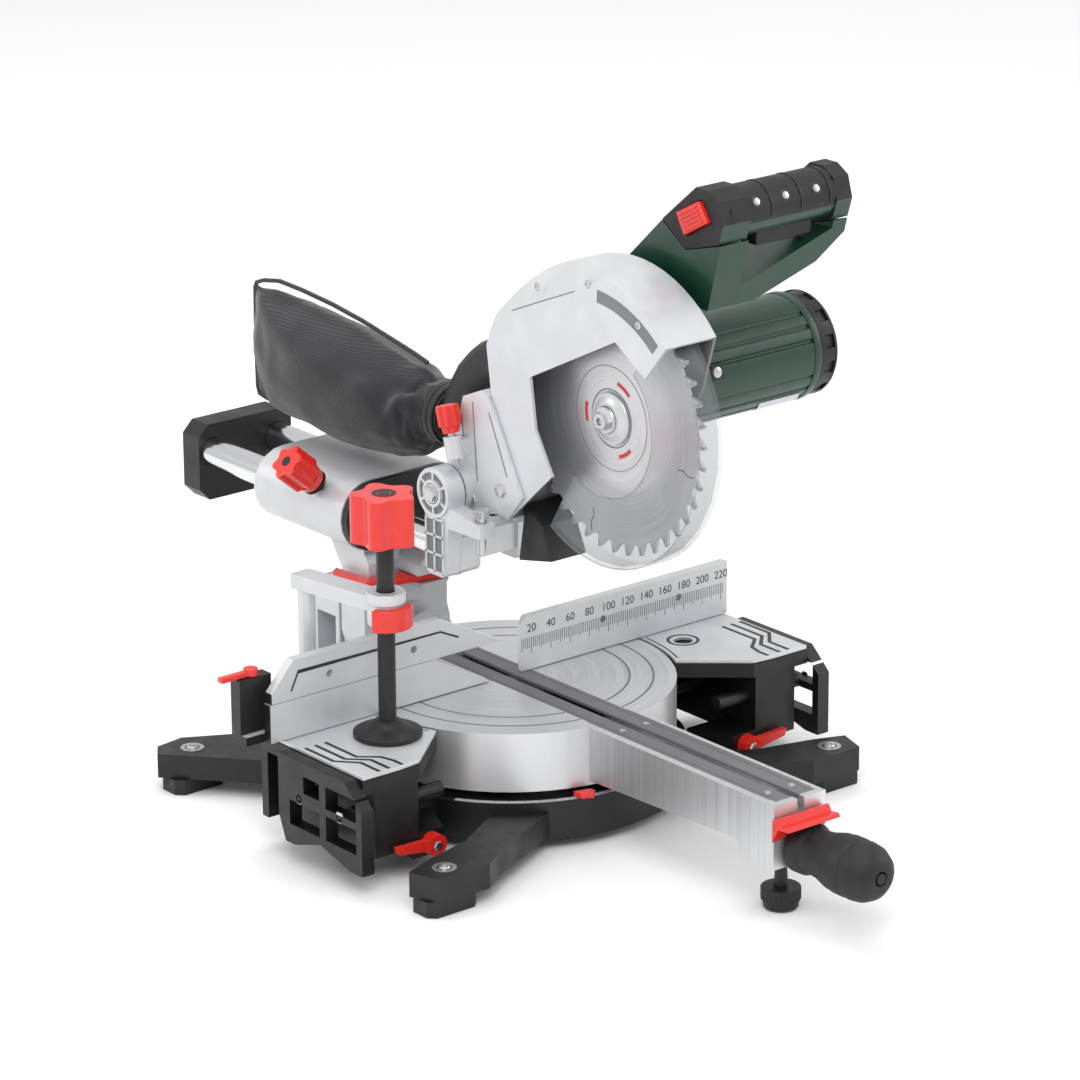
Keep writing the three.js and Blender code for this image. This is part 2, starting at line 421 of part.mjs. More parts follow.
piece('blade_bolt', join(bar('x', BLADE.y, BLADE.z, 11, -8.4, -6 - GAP, 20), bar('x', BLADE.y, BLADE.z, 7, -14, -8, 6)),
  steel);

// ---- clear lower guard ----
const G = LOWER_GUARD;
const sector = (r0, r1) => [...guardArc(r1, 130, 301.5, 26), ...guardArc(r0, 301.5, 130, 12)];
const hubSide = join(prism('x', sector(27, G.r), G.right - G.wall, G.right),
  tube('x', BLADE.y, BLADE.z, 34, 24.5, G.right - G.wall, G.right, 32));
piece('lower_guard', join(hubSide, prism('x', sector(G.r - G.wall, G.r), G.left, G.right),
  prism('x', sector(60, G.r), G.left, G.left + G.wall)), clearPlastic);

// ---- operating handle ----
const fin = [[-97, 452], [-180, 431], [-192, 431], [-200, 462], [-206, 484], [-166, 473], [-139, 491]].reverse();
const neck = prism('x', [[-150, 372], [-182, 432], [-150, 440], [-97, 452], [-60, 380]].reverse(), 24, 46);
const handleBulk = prism('x', fin, GRIP.left, 164);
const underside = prism('y', [[52, 420], [170, 420], [170, 478], [140, 452]], -230, -70);
const finger = prism('y', [[64, 446], [150, 478], [150, 540], [64, 540]], -240, -60);
piece('handle_body', cut(join(handleBulk, neck), underside, finger, bar('x', MOTOR.y, MOTOR.z, 47.4, 20, 60, 36),
  bar('x', MOTOR.y, MOTOR.z, MOTOR.r + 0.5, 20, 210, 36)), greenPlastic);
const capOutline = [[-139.5, 492], [-166, 473.6], [-204, 484.5], [-209, 500], [-204, 517], [-192, 524],
  [-178, 524]].reverse();
const gripBar = join(prism('x', circle(GRIP.y, GRIP.z, 20, 20), GRIP.left + 10, GRIP.right - 10),
  prism('x', capOutline, GRIP.left, 63.6), prism('x', capOutline, 150.4, GRIP.right));
piece('handle_grip', cut(gripBar, block(78, 136, -199, -177, 480, 496),
  prism('x', [[-196, 500], [-184, 516], [-158, 502], [-168, 484]].reverse(), GRIP.left - 1, GRIP.left + 6),
  prism('x', [[-196, 500], [-184, 516], [-158, 502], [-168, 484]].reverse(), GRIP.right - 6, GRIP.right + 1)),
softRubber);
const thumb = [[-195, 500.2], [-184.2, 515], [-159.2, 501.5], [-168.2, 485.2]].reverse();
piece('release_lever_left', prism('x', thumb, GRIP.left - 4, GRIP.left + 1.5), redPlastic);
piece('release_lever_right', prism('x', thumb, GRIP.right - 1.5, GRIP.right + 4), redPlastic);
piece('trigger', block(79, 135, -198, -178, 475, 489), blackPlastic);

// ---- dust chute, elbow and bag ----
piece('dust_chute', prism('x', [[-38.8, 252], [-36.8, 236], [-31, 203], [-72, 212], [-60, 237.4]], -18, 18),
  blackPlastic);
const elbowLine = [[8, -4.6, 352], [8, 20, 350], [8, 46, 332], [8, 62, 308], [8, 76, 293], [8, 90, 291]];
function bentPipe(line, r, steps) {
  const path = new THREE.CatmullRomCurve3(line.map((p) => new THREE.Vector3(...p)));
  const section = new THREE.Shape(circle(0, 0, r, 14).map(([u, v]) => new THREE.Vector2(u, v)));
  return solid(new THREE.ExtrudeGeometry(section, { steps, bevelEnabled: false, extrudePath: path }));
}
piece('dust_elbow', cut(join(bentPipe(elbowLine, 19, 10), rod([8, 76, 291], [8, 93.4, 291], 24, 20)),
  bentPipe([[8, -8, 352.2], ...elbowLine, [8, 98, 290.8]], 16, 11)), blackPlastic);
/** Pouch through rings given as y, bottom, top and half width. */
function pouch(rings, centreX, sides) {
  const positions = [];
  const index = [];
  rings.forEach(([y, bottom, top, half]) => circle(0, 0, 1, sides).forEach(([c, s]) => {
    positions.push(centreX + half * c, y, (bottom + top) / 2 + ((top - bottom) / 2) * s);
  }));
  const last = rings.length - 1;
  for (let ring = 0; ring < last; ring += 1) {
    for (let i = 0; i < sides; i += 1) {
      const a = ring * sides + i;
      const b = ring * sides + ((i + 1) % sides);
      index.push(a, a + sides, b, b, a + sides, b + sides);
    }
  }
  for (let i = 1; i < sides - 1; i += 1) {
    index.push(0, i, i + 1);
    index.push(last * sides, last * sides + i + 1, last * sides + i);
  }
  const geometry = new THREE.BufferGeometry();
  geometry.setAttribute('position', new THREE.Float32BufferAttribute(positions, 3));
  geometry.setIndex(index);
  return solid(geometry);
}
piece('dust_bag', pouch([[94, 264, 316, 26], [112, 252, 326, 35], [150, 241, 334, 43], [220, 238, 344, 45],
  [285, 238, 353, 38], [322, 240, 353, 20], [346, 244, 340, 6]], 8, 18), fabric);
piece('transport_lock', join(rod([-41, 17.2, 275.5], [-41, 24, 305], 3, 12),
  rod([-41, 22.4, 299.5], [-41, 28, 321], 9.5, 8)), redPlastic);

const saw = new THREE.Group();
saw.add(...meshes);
export default saw;
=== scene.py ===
"""Looks of a sliding compound mitre saw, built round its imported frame.

The file is laid out as an add-on: sizes and colours are properties, each group of pieces is an
operator, and a panel in the sidebar lists them. Everything is in metres, X to the operator's
right, Y away, Z up. Outlines and profiles are in millimetres.
"""

import json
import math
from math import cos, pi, radians, sin

import bmesh
import bpy
from mathutils import Matrix, Vector, noise


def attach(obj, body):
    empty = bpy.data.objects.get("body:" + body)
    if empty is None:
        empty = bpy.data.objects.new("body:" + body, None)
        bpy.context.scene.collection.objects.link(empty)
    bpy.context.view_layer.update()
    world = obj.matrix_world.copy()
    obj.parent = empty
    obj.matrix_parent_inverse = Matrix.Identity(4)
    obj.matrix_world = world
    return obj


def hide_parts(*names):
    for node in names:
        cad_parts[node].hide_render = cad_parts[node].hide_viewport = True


bl_info = {
    "name": "Mitre saw looks",
    "version": (1, 0, 0),
    "blender": (4, 5, 0),
    "location": "View3D > Sidebar > Saw",
    "description": "Builds the visible pieces and finishes of a sliding mitre saw",
    "category": "Object",
}

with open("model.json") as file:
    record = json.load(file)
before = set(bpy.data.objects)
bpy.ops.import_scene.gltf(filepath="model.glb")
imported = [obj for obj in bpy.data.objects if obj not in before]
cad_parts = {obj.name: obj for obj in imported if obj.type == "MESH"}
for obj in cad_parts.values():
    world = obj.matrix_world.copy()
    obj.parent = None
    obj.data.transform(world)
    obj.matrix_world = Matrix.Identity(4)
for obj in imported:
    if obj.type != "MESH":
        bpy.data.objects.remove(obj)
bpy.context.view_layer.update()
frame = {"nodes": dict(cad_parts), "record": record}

MM = 0.001
BLADE = Vector((0, -124.6, 338.3)) * MM
MOTOR = Vector((0, -93.6, 349.3)) * MM
TABLE = 94.0
# height of the painted-shade bands laid on the table tops
TABLE_SHADE_BAND = (TABLE - 0.1, TABLE + 0.12)
GUARD_LEFT = -28.0
# limits of the guard's inner faces that take the painted shade
GUARD_INNER = 26.3 * MM
GUARD_INNER_R = 122.2 * MM
GUARD_FACET = Vector((-0.812, 0.2249, 0.5391))
BLADE_TEETH = 40
CLAMP_AXIS = (-156.4, -40.7)
BAG_MIDDLE = Vector((0.008, 0, 0.293))
CLOTH_STEPS = 18
CLOTH_CAP = 7 * MM
AXES = {
    "X": Matrix(((0, 0, 1, 0), (1, 0, 0, 0), (0, 1, 0, 0), (0, 0, 0, 1))),
    "Y": Matrix(((1, 0, 0, 0), (0, 0, 1, 0), (0, 1, 0, 0), (0, 0, 0, 1))),
    "Z": Matrix.Identity(4),
}


# ---- settings ----
def colour(name, description, default):
    """A colour property whose default is an sRGB hex value."""
    return bpy.props.FloatVectorProperty(
        name=name, description=description, subtype="COLOR", size=3, min=0, max=1, default=linear(default))


def length(name, description, default):
    """A length property, its default in millimetres."""
    return bpy.props.FloatProperty(
        name=name, description=description, default=default * MM, min=0, unit="LENGTH")


def linear(value):
    """sRGB hex to linear red, green and blue."""
    parts = [int(value[i:i + 2], 16) / 255 for i in (1, 3, 5)]
    return tuple(c / 12.92 if c <= 0.04045 else ((c + 0.055) / 1.055) ** 2.4 for c in parts)


class SawColours(bpy.types.PropertyGroup):
    silver: colour("Silver lacquer", "Fences, guard and castings", "#c9cbce")
    table: colour("Bare aluminium", "Machined turntable and table tops", "#d2d3d5")
    black: colour("Black powder coat", "Base casting and table ends", "#0c0c0d")
    moulded: colour("Black moulding", "Rear cap, motor cap, knob stems", "#0e0e10")
    grip: colour("Grip rubber", "Handle and mitre grip", "#131315")
    red: colour("Signal red", "Levers and knobs", "#d8281e")
    green: colour("Housing green", "Motor housing and handle", "#0f3628")
    cloth: colour("Bag cloth", "Dust bag", "#1f2023")
    insert: colour("Kerf insert", "Plastic either side of the slot", "#6b6b6e")
    # this near-black serves the printed marks and figures, and also the painted shade in grooves, wells,
    # recesses and blade slots
    ink: colour("Printing ink", "Scale marks and figures", "#19191b")
    red_ink: colour("Red ink", "Printed dashes on the blade", "#c4281f")
    foil: colour("Label foil", "Blank label on the motor", "#c3c5c9")
    chrome: colour("Hard chrome", "Guide rails", "#dcdde0")
    zinc: colour("Zinc plate", "Screws, pins and bearings", "#c5c6c8")
    carbide: colour("Carbide", "Tooth tips", "#adafb2")
    plate: colour("Saw plate", "Ground face of the blade", "#cdced1")
    copper: colour("Copper winding", "Armature", "#cb8a60")
    clear: colour("Clear guard", "Polycarbonate lower guard", "#878d91")
    floor: colour("Floor", "Backdrop", "#f4f4f4")


class SawSizes(bpy.types.PropertyGroup):
    casting_edge: length("Casting edge", "Rounding on cast edges", 1.4)
    sheet_edge: length("Machined edge", "Rounding on machined and sheet edges", 0.5)
    mould_edge: length("Moulded edge", "Rounding on moulded housings", 2.2)
    knob_edge: length("Knob edge", "Rounding on knobs and levers", 1.2)
    tooth_tip: length("Tooth tip", "Length of a brazed tooth tip", 5.0)
    # width of each near-black band of painted shade that stands for a table groove
    groove: length("Groove", "Width of a groove in the tables", 3.2)
    figure: length("Figure height", "Height of the scale figures", 9.5)


# ---- materials ----
def add(tree, kind, inputs=None, **settings):
    """Adds one node with its settings, and sets or links its inputs."""
    made = tree.nodes.new(kind)
    for key, value in settings.items():
        setattr(made, key, value)
    for key, value in (inputs or {}).items():
        if isinstance(value, bpy.types.NodeSocket):
            tree.links.new(value, made.inputs[key])
        else:
            made.inputs[key].default_value = value
    return made


def start(name):
    """An empty node material with its surface, output and object coordinates."""
    material = bpy.data.materials.new(name)
    material.use_nodes = True
    tree = material.node_tree
    tree.nodes.clear()
    surface = add(tree, "ShaderNodeBsdfPrincipled")
    add(tree, "ShaderNodeOutputMaterial", {"Surface": surface.outputs["BSDF"]})
    place = add(tree, "ShaderNodeTexCoord").outputs["Object"]
    return material, tree, surface, place


def blotch(tree, place, scale, dark, light, detail=4.0):
    """Colour that wanders between two shades over the surface."""
    spread = add(tree, "ShaderNodeTexNoise", {"Vector": place, "Scale": scale, "Detail": detail})
    ramp = add(tree, "ShaderNodeValToRGB", {"Fac": spread.outputs["Fac"]})
    ramp.color_ramp.elements[0].position = 0.32
    ramp.color_ramp.elements[1].position = 0.68
    ramp.color_ramp.elements[0].color = (*dark, 1)
    ramp.color_ramp.elements[1].color = (*light, 1)
    return ramp.outputs["Color"]


def rough(tree, place, scale, low, high):
    """Roughness that wanders between two values."""
    spread = add(tree, "ShaderNodeTexNoise", {"Vector": place, "Scale": scale, "Detail": 3.0})
    return add(tree, "ShaderNodeMapRange", {
        "Value": spread.outputs["Fac"], "From Min": 0.3, "From Max": 0.7, "To Min": low,
        "To Max": high}).outputs[0]


def shade(value, k):
    """A linear colour made darker or lighter."""
    return tuple(min(1.0, c * k) for c in value)


def coated(name, tone, metallic, low, high, grain_mm, strength, coat=0.0):
    """Coated or moulded surface: a little blotch, uneven gloss and a fine grain."""
    material, tree, surface, place = start(name)
    body = blotch(tree, place, 35, shade(tone, 0.96), shade(tone, 1.03))
    tree.links.new(body, surface.inputs["Base Color"])
    tree.links.new(rough(tree, place, 60, low, high), surface.inputs["Roughness"])
    surface.inputs["Metallic"].default_value = metallic
    surface.inputs["Coat Weight"].default_value = coat
    surface.inputs["Coat Roughness"].default_value = 0.2
    grain = add(tree, "ShaderNodeTexNoise", {"Vector": place, "Scale": 1 / (grain_mm * MM), "Detail": 2.0})
    bump = add(tree, "ShaderNodeBump", {"Height": grain.outputs["Fac"], "Strength": strength,
                                        "Distance": 0.0004})
    tree.links.new(bump.outputs["Normal"], surface.inputs["Normal"])
    return material


def turned(name, tone, centre, axis, pitch_mm):
    """Metal faced on a lathe: fine rings round an axis catch the light."""
    material, tree, surface, place = start(name)
    turn = {"X": (0, -pi / 2, 0), "Z": (0, 0, 0)}[axis]
    local = add(tree, "ShaderNodeMapping", {"Vector": place, "Location": tuple(-c for c in centre)})
    local = add(tree, "ShaderNodeMapping", {"Vector": local.outputs[0], "Rotation": turn}).outputs[0]
    split = add(tree, "ShaderNodeSeparateXYZ", {"Vector": local})
    flat = add(tree, "ShaderNodeCombineXYZ", {"X": split.outputs["X"], "Y": split.outputs["Y"]})
    radius = add(tree, "ShaderNodeVectorMath", {0: flat.outputs[0]}, operation="LENGTH").outputs["Value"]
    angle = add(tree, "ShaderNodeMath", {0: split.outputs["Y"], 1: split.outputs["X"]}, operation="ARCTAN2")
    rings = add(tree, "ShaderNodeMath", {0: radius, 1: 1 / (pitch_mm * MM)},
                operation="MULTIPLY").outputs[0]
    track = add(tree, "ShaderNodeCombineXYZ", {"X": rings, "Y": angle.outputs[0]})
    streak = add(tree, "ShaderNodeTexNoise", {"Vector": track.outputs[0], "Scale": 1.0, "Detail": 3.0})
    tint = add(tree, "ShaderNodeValToRGB", {"Fac": streak.outputs["Fac"]})
    tint.color_ramp.elements[0].position, tint.color_ramp.elements[1].position = 0.3, 0.7
    tint.color_ramp.elements[0].color = (*shade(tone, 0.86), 1)
    tint.color_ramp.elements[1].color = (*shade(tone, 1.1), 1)
    tree.links.new(tint.outputs["Color"], surface.inputs["Base Color"])
    surface.inputs["Metallic"].default_value = 0.75
    gloss = add(tree, "ShaderNodeMapRange", {"Value": streak.outputs["Fac"], "To Min": 0.26,
                                             "To Max": 0.46})
    tree.links.new(gloss.outputs[0], surface.inputs["Roughness"])
    bump = add(tree, "ShaderNodeBump", {"Height": streak.outputs["Fac"], "Strength": 0.25,
                                        "Distance": 0.0003})
    tree.links.new(bump.outputs["Normal"], surface.inputs["Normal"])
    return material


def brushed(name, tone, axis, roughness):
    """Drawn or ground steel, its fine lines along one axis."""
    material, tree, surface, place = start(name)
    stretch = [900.0, 900.0, 900.0]
    stretch["XYZ".index(axis)] = 12.0
    lines = add(tree, "ShaderNodeMapping", {"Vector": place, "Scale": tuple(stretch)})
    streak = add(tree, "ShaderNodeTexNoise", {"Vector": lines.outputs[0], "Scale": 1.0, "Detail": 2.0})
    tint = add(tree, "ShaderNodeMix", {
        "Factor": streak.outputs["Fac"], "A": (*shade(tone, 0.85), 1), "B": (*shade(tone, 1.1), 1)},
        data_type="RGBA")
    tree.links.new(tint.outputs["Result"], surface.inputs["Base Color"])
    surface.inputs["Metallic"].default_value = 1.0
    gloss = add(tree, "ShaderNodeMapRange", {
        "Value": streak.outputs["Fac"], "To Min": roughness * 0.8, "To Max": roughness * 1.3})
    tree.links.new(gloss.outputs[0], surface.inputs["Roughness"])
    return material


def woven(name, tone, thread_mm):
    """Plain-woven polyester: two crossed sets of threads with a soft sheen."""
    material, tree, surface, place = start(name)
    body = blotch(tree, place, 22, shade(tone, 0.86), shade(tone, 1.08))
    waves = []
    for direction in ("Y", "Z"):
        threads = add(tree, "ShaderNodeTexWave", {
            "Vector": place, "Scale": 2 * pi / (thread_mm * MM) / 20, "Distortion": 0.6, "Detail": 1.0},
            wave_type="BANDS", bands_direction=direction)
        waves.append(threads.outputs["Fac"])
    cross = add(tree, "ShaderNodeMath", {0: waves[0], 1: waves[1]}, operation="MULTIPLY").outputs[0]
    tint = add(tree, "ShaderNodeMix", {"Factor": cross, "A": body, "B": (*shade(tone, 1.25), 1)},
               data_type="RGBA")
    tree.links.new(tint.outputs["Result"], surface.inputs["Base Color"])
    surface.inputs["Roughness"].default_value = 0.85
    surface.inputs["Sheen Weight"].default_value = 0.35
    surface.inputs["Sheen Roughness"].default_value = 0.4
    creases = add(tree, "ShaderNodeTexNoise", {"Vector": place, "Scale": 28.0, "Detail": 5.0,
                                               "Distortion": 1.2})
    height = add(tree, "ShaderNodeMath", {0: creases.outputs["Fac"], 1: cross}, operation="ADD").outputs[0]
    bump = add(tree, "ShaderNodeBump", {"Height": height, "Strength": 0.35, "Distance": 0.0012})
    tree.links.new(bump.outputs["Normal"], surface.inputs["Normal"])
    return material


def clear(name, tone):
    """Clear polycarbonate, faint face on and brighter where the sheet is seen on edge."""
    material, tree, surface, place = start(name)
    surface.inputs["Base Color"].default_value = (*tone, 1)
    surface.inputs["IOR"].default_value = 1.58
    tree.links.new(rough(tree, place, 40, 0.04, 0.1), surface.inputs["Roughness"])
    facing = add(tree, "ShaderNodeLayerWeight", {"Blend": 0.35}).outputs["Facing"]
    cover = add(tree, "ShaderNodeMapRange", {"Value": facing, "To Min": 0.07, "To Max": 0.55})
    tree.links.new(cover.outputs[0], surface.inputs["Alpha"])
    return material


MATERIALS = {}


def make_materials(tones):
    """Every finish on the saw, named for what it is made of and how."""
    silver, black = tuple(tones.silver), tuple(tones.black)
    MATERIALS.update({
        # die-cast aluminium under silver lacquer: satin, faint orange peel
        "silver": coated("silver_lacquer_on_die_cast_aluminium", silver, 0.35, 0.34, 0.48, 1.2, 0.12, 0.15),
        # painted shade: the silver darkened to a third for inner faces and recesses of the same castings,
        # and for their grooves and creases, where shade falls
        "shadow": coated("painted_shade_silver_darkened", shade(silver, 0.32), 0.3, 0.45, 0.6, 1.2, 0.15),
        # faced aluminium: rings from the cutter stay visible
        "table": turned("faced_aluminium_turntable", tuple(tones.table), (0, 0, 0), "Z", 1.6),
        # powder coat on the base: fine pebbled grain and a low sheen
        "black": coated("black_powder_coat_on_cast_base", black, 0.0, 0.36, 0.52, 0.9, 0.35),
        # glass-filled nylon mouldings
        "moulded": coated("black_glass_filled_nylon", tuple(tones.moulded), 0.0, 0.38, 0.55, 0.7, 0.25),
        # thermoplastic rubber over-moulding, dry to the eye
        "grip": coated("soft_thermoplastic_grip", tuple(tones.grip), 0.0, 0.5, 0.68, 0.6, 0.4),
        # red ABS, glossy off a polished mould
        "red": coated("signal_red_abs", tuple(tones.red), 0.0, 0.25, 0.38, 1.6, 0.08, 0.2),
        # green nylon housings, satin
        "green": coated("dark_green_nylon_housing", tuple(tones.green), 0.0, 0.3, 0.44, 0.9, 0.18, 0.1),
        "insert": coated("charcoal_abs_kerf_insert", tuple(tones.insert), 0.0, 0.45, 0.6, 0.8, 0.3),
        # near-black ink for the printed marks and figures, also used as painted shade in grooves, wells,
        # recesses and blade slots
        "ink": coated("black_ink_for_print_and_painted_shade", tuple(tones.ink), 0.0, 0.4, 0.5, 0.6, 0.05),
        "red_ink": coated("red_pad_printed_ink", tuple(tones.red_ink), 0.0, 0.4, 0.5, 0.6, 0.05),
        "foil": coated("brushed_foil_label", tuple(tones.foil), 0.5, 0.3, 0.4, 0.5, 0.05),
        # hard chromed guide rails
        "rail": brushed("hard_chromed_ground_rail", tuple(tones.chrome), "Y", 0.14),
        "steel": brushed("zinc_plated_turned_steel", tuple(tones.zinc), "X", 0.3),
        "carbide": coated("brazed_carbide_tip", tuple(tones.carbide), 0.9, 0.22, 0.34, 0.5, 0.1),
        "blade": turned("ground_steel_saw_plate", tuple(tones.plate), tuple(BLADE), "X", 1.1),
        "copper": brushed("lacquered_copper_winding", tuple(tones.copper), "X", 0.3),
        "clear": clear("clear_polycarbonate_guard", tuple(tones.clear)),
        # charcoal polyester, threads drawn 1.6 mm apart so that they show
        "cloth": woven("charcoal_woven_polyester", tuple(tones.cloth), 1.6),
        "elastic": woven("black_knitted_elastic", shade(tuple(tones.cloth), 0.5), 1.2),
    })


# ---- modelling ----
def finish_piece(name, bm, body, finish, replaces=(), smooth=35, weighted=True):
    """Turns a bmesh into a piece at the origin that rides on a body."""
    mesh = bpy.data.meshes.new(name)
    bm.normal_update()
    bm.to_mesh(mesh)
    bm.free()
    mesh.polygons.foreach_set("use_smooth", [True] * len(mesh.polygons))
    mesh.set_sharp_from_angle(angle=radians(smooth))
    mesh.materials.append(MATERIALS[finish])
    piece = bpy.data.objects.new(name, mesh)
    bpy.context.scene.collection.objects.link(piece)
    if weighted:
        piece.modifiers.new("even_shading", "WEIGHTED_NORMAL").keep_sharp = True
    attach(piece, body)
    if replaces:
        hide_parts(*replaces)
    return piece


def repaint(piece, finish, test):
    """Gives a second finish to the faces whose centre and normal pass a test."""
    piece.data.materials.append(MATERIALS[finish])
    for face in piece.data.polygons:
        face.material_index = int(test(face.center, face.normal))


def body_of(node):
    """The body that a CAD node belongs to, and its material slot."""
    record = frame["record"]
    body = next(b for b, nodes in record["behaviour"]["bodies"].items() if node in nodes)
    slot = next(s["material_slot"] for s in record["subparts"] if s["node"] == node)
    return body, slot


def merged(node):
    """A bmesh copy of a CAD node with its loose triangles joined into clean faces."""
    bm = bmesh.new()
    bm.from_mesh(frame["nodes"][node].data)
    bmesh.ops.remove_doubles(bm, verts=bm.verts, dist=2e-6)
    bmesh.ops.dissolve_limit(bm, angle_limit=radians(1.0), verts=bm.verts, edges=bm.edges)
    return bm


def soften(bm, width, angle=30, segments=2, only=None):
    """Rounds the edges sharper than an angle."""
    edges = [e for e in bm.edges if len(e.link_faces) == 2 and e.calc_face_angle(0) > radians(angle)
             and e.calc_length() > width * 0.6 and (only is None or only(e))]
    if edges:
        bmesh.ops.bevel(bm, geom=edges, offset=width, offset_type="OFFSET", affect="EDGES",
                        segments=segments,
                        profile=0.5, material=-1, clamp_overlap=True)


def rounded_copy(node, finish, width, segments=2, angle=30):
    """The CAD node again with rounded edges and its real finish."""
    bm = merged(node)
    soften(bm, width, angle, segments)
    body, slot = body_of(node)
    return finish_piece(node + "_skin", bm, body, finish, replaces=(node,))


def lathe(bm, profile, axis, centre, steps=48, matrix=None):
    """Spins a profile of (along, radius) in millimetres round an axis through a centre in millimetres."""
    verts = [bm.verts.new((r * MM, 0, a * MM)) for a, r in profile]
    edges = [bm.edges.new(pair) for pair in zip(verts, verts[1:])]
    bmesh.ops.spin(bm, geom=verts + edges, cent=(0, 0, 0), axis=(0, 0, 1), dvec=(0, 0, 0), angle=2 * pi,
                   steps=steps, use_merge=True, use_duplicate=False)
    made = list({v for f in {f for v in verts for f in v.link_faces} for v in f.verts})
    reach = set(made)
    while made:
        made = [w for v in made for e in v.link_edges for w in e.verts if w not in reach]
        reach.update(made)
    verts = list(reach)
    bmesh.ops.transform(bm, matrix=AXES[axis], verts=verts)
    bmesh.ops.translate(bm, vec=Vector(centre) * MM, verts=verts)
    if matrix:
        bmesh.ops.transform(bm, matrix=matrix, verts=verts)
    bmesh.ops.remove_doubles(bm, verts=verts, dist=1e-6)
    alive = [v for v in verts if v.is_valid]
    faces = list({f for v in alive for f in v.link_faces})
    bmesh.ops.recalc_face_normals(bm, faces=faces)
    return alive


def slab(bm, outline, axis, low, high, matrix=None):
    """Extrudes an outline in millimetres along an axis of the saw."""
    turn = AXES[axis]
    verts = [bm.verts.new(turn @ Vector((u * MM, v * MM, low * MM))) for u, v in outline]
    face = bm.faces.new(verts)
    extruded = bmesh.ops.extrude_face_region(bm, geom=[face])["geom"]
    top = [g for g in extruded if isinstance(g, bmesh.types.BMVert)]
    step = (turn.to_3x3() @ Vector((0, 0, 1))) * (high - low) * MM
    bmesh.ops.translate(bm, vec=step, verts=top)
    made = verts + top
    if matrix:
        bmesh.ops.transform(bm, matrix=matrix, verts=made)
    faces = list({f for v in made for f in v.link_faces})
    bmesh.ops.recalc_face_normals(bm, faces=faces)
    return made


def polar(u, v, r, degrees):
    """A point at a distance and an angle from a centre."""
    return u + r * cos(radians(degrees)), v + r * sin(radians(degrees))


def aimed(spot, out):
    """Puts a local Z axis at a spot in millimetres, pointing along a direction."""
    return Matrix.Translation(spot * MM) @ out.to_track_quat("Z", "X").to_matrix().to_4x4()


def ring_points(cu, cv, r, low, high, steps):
    """Points of an arc in millimetres, ends included."""
    return [polar(cu, cv, r, low + (high - low) * i / steps) for i in range(steps + 1)]


def band(bm, points, width, axis, low, high):
    """A flat strip of a width that follows points, extruded along an axis."""
    left, right = [], []
    for i, (u, v) in enumerate(points):
        before, after = points[max(i - 1, 0)], points[min(i + 1, len(points) - 1)]
        along = Vector((after[0] - before[0], after[1] - before[1])).normalized()
        side = Vector((-along.y, along.x)) * width / 2
        if 0 < i < len(points) - 1:
            first = Vector((u - before[0], v - before[1])).normalized()
            side /= max(0.5, abs(first.dot(along)))
        left.append((u + side.x, v + side.y))
        right.append((u - side.x, v - side.y))
    for i in range(len(points) - 1):
        slab(bm, [left[i], left[i + 1], right[i + 1], right[i]], axis, low, high)


def screw(bm, axis, centre, r, height, sign=1):
    """Cross-head screw: domed head with a recess drawn by a stepped profile."""
    profile = [(0, 0), (height * 0.35, 0), (height * 0.35, r * 0.42), (height, r * 0.5),
               (height * 0.95, r * 0.8),
               (height * 0.5, r), (0, r), (0, 0)]
    lathe(bm, [(a * sign, b) for a, b in profile], axis, centre, 20)


def words(text, size_mm, matrix, name):
    """Printed figures, thin and solid."""
    curve = bpy.data.curves.new(name, "FONT")
    curve.body = text
    curve.size = size_mm * MM
    curve.align_x, curve.align_y = "CENTER", "CENTER"
    curve.extrude = 0.00005
    holder = bpy.data.objects.new(name + "_source", curve)
    bpy.context.scene.collection.objects.link(holder)
    bpy.context.view_layer.update()
    mesh = bpy.data.meshes.new_from_object(holder.evaluated_get(bpy.context.evaluated_depsgraph_get()))
    bpy.data.objects.remove(holder)
    mesh.transform(matrix)
    bm = bmesh.new()
    bm.from_mesh(mesh)
    bpy.data.meshes.remove(mesh)
    return bm


def lobed(cu, cv, r, depth, lobes, steps):
    """Outline of a knob whose rim swells into lobes."""
    return [(cu + (r + depth * cos(lobes * a)) * cos(a), cv + (r + depth * cos(lobes * a)) * sin(a))
            for a in (2 * pi * i / steps for i in range(steps))]


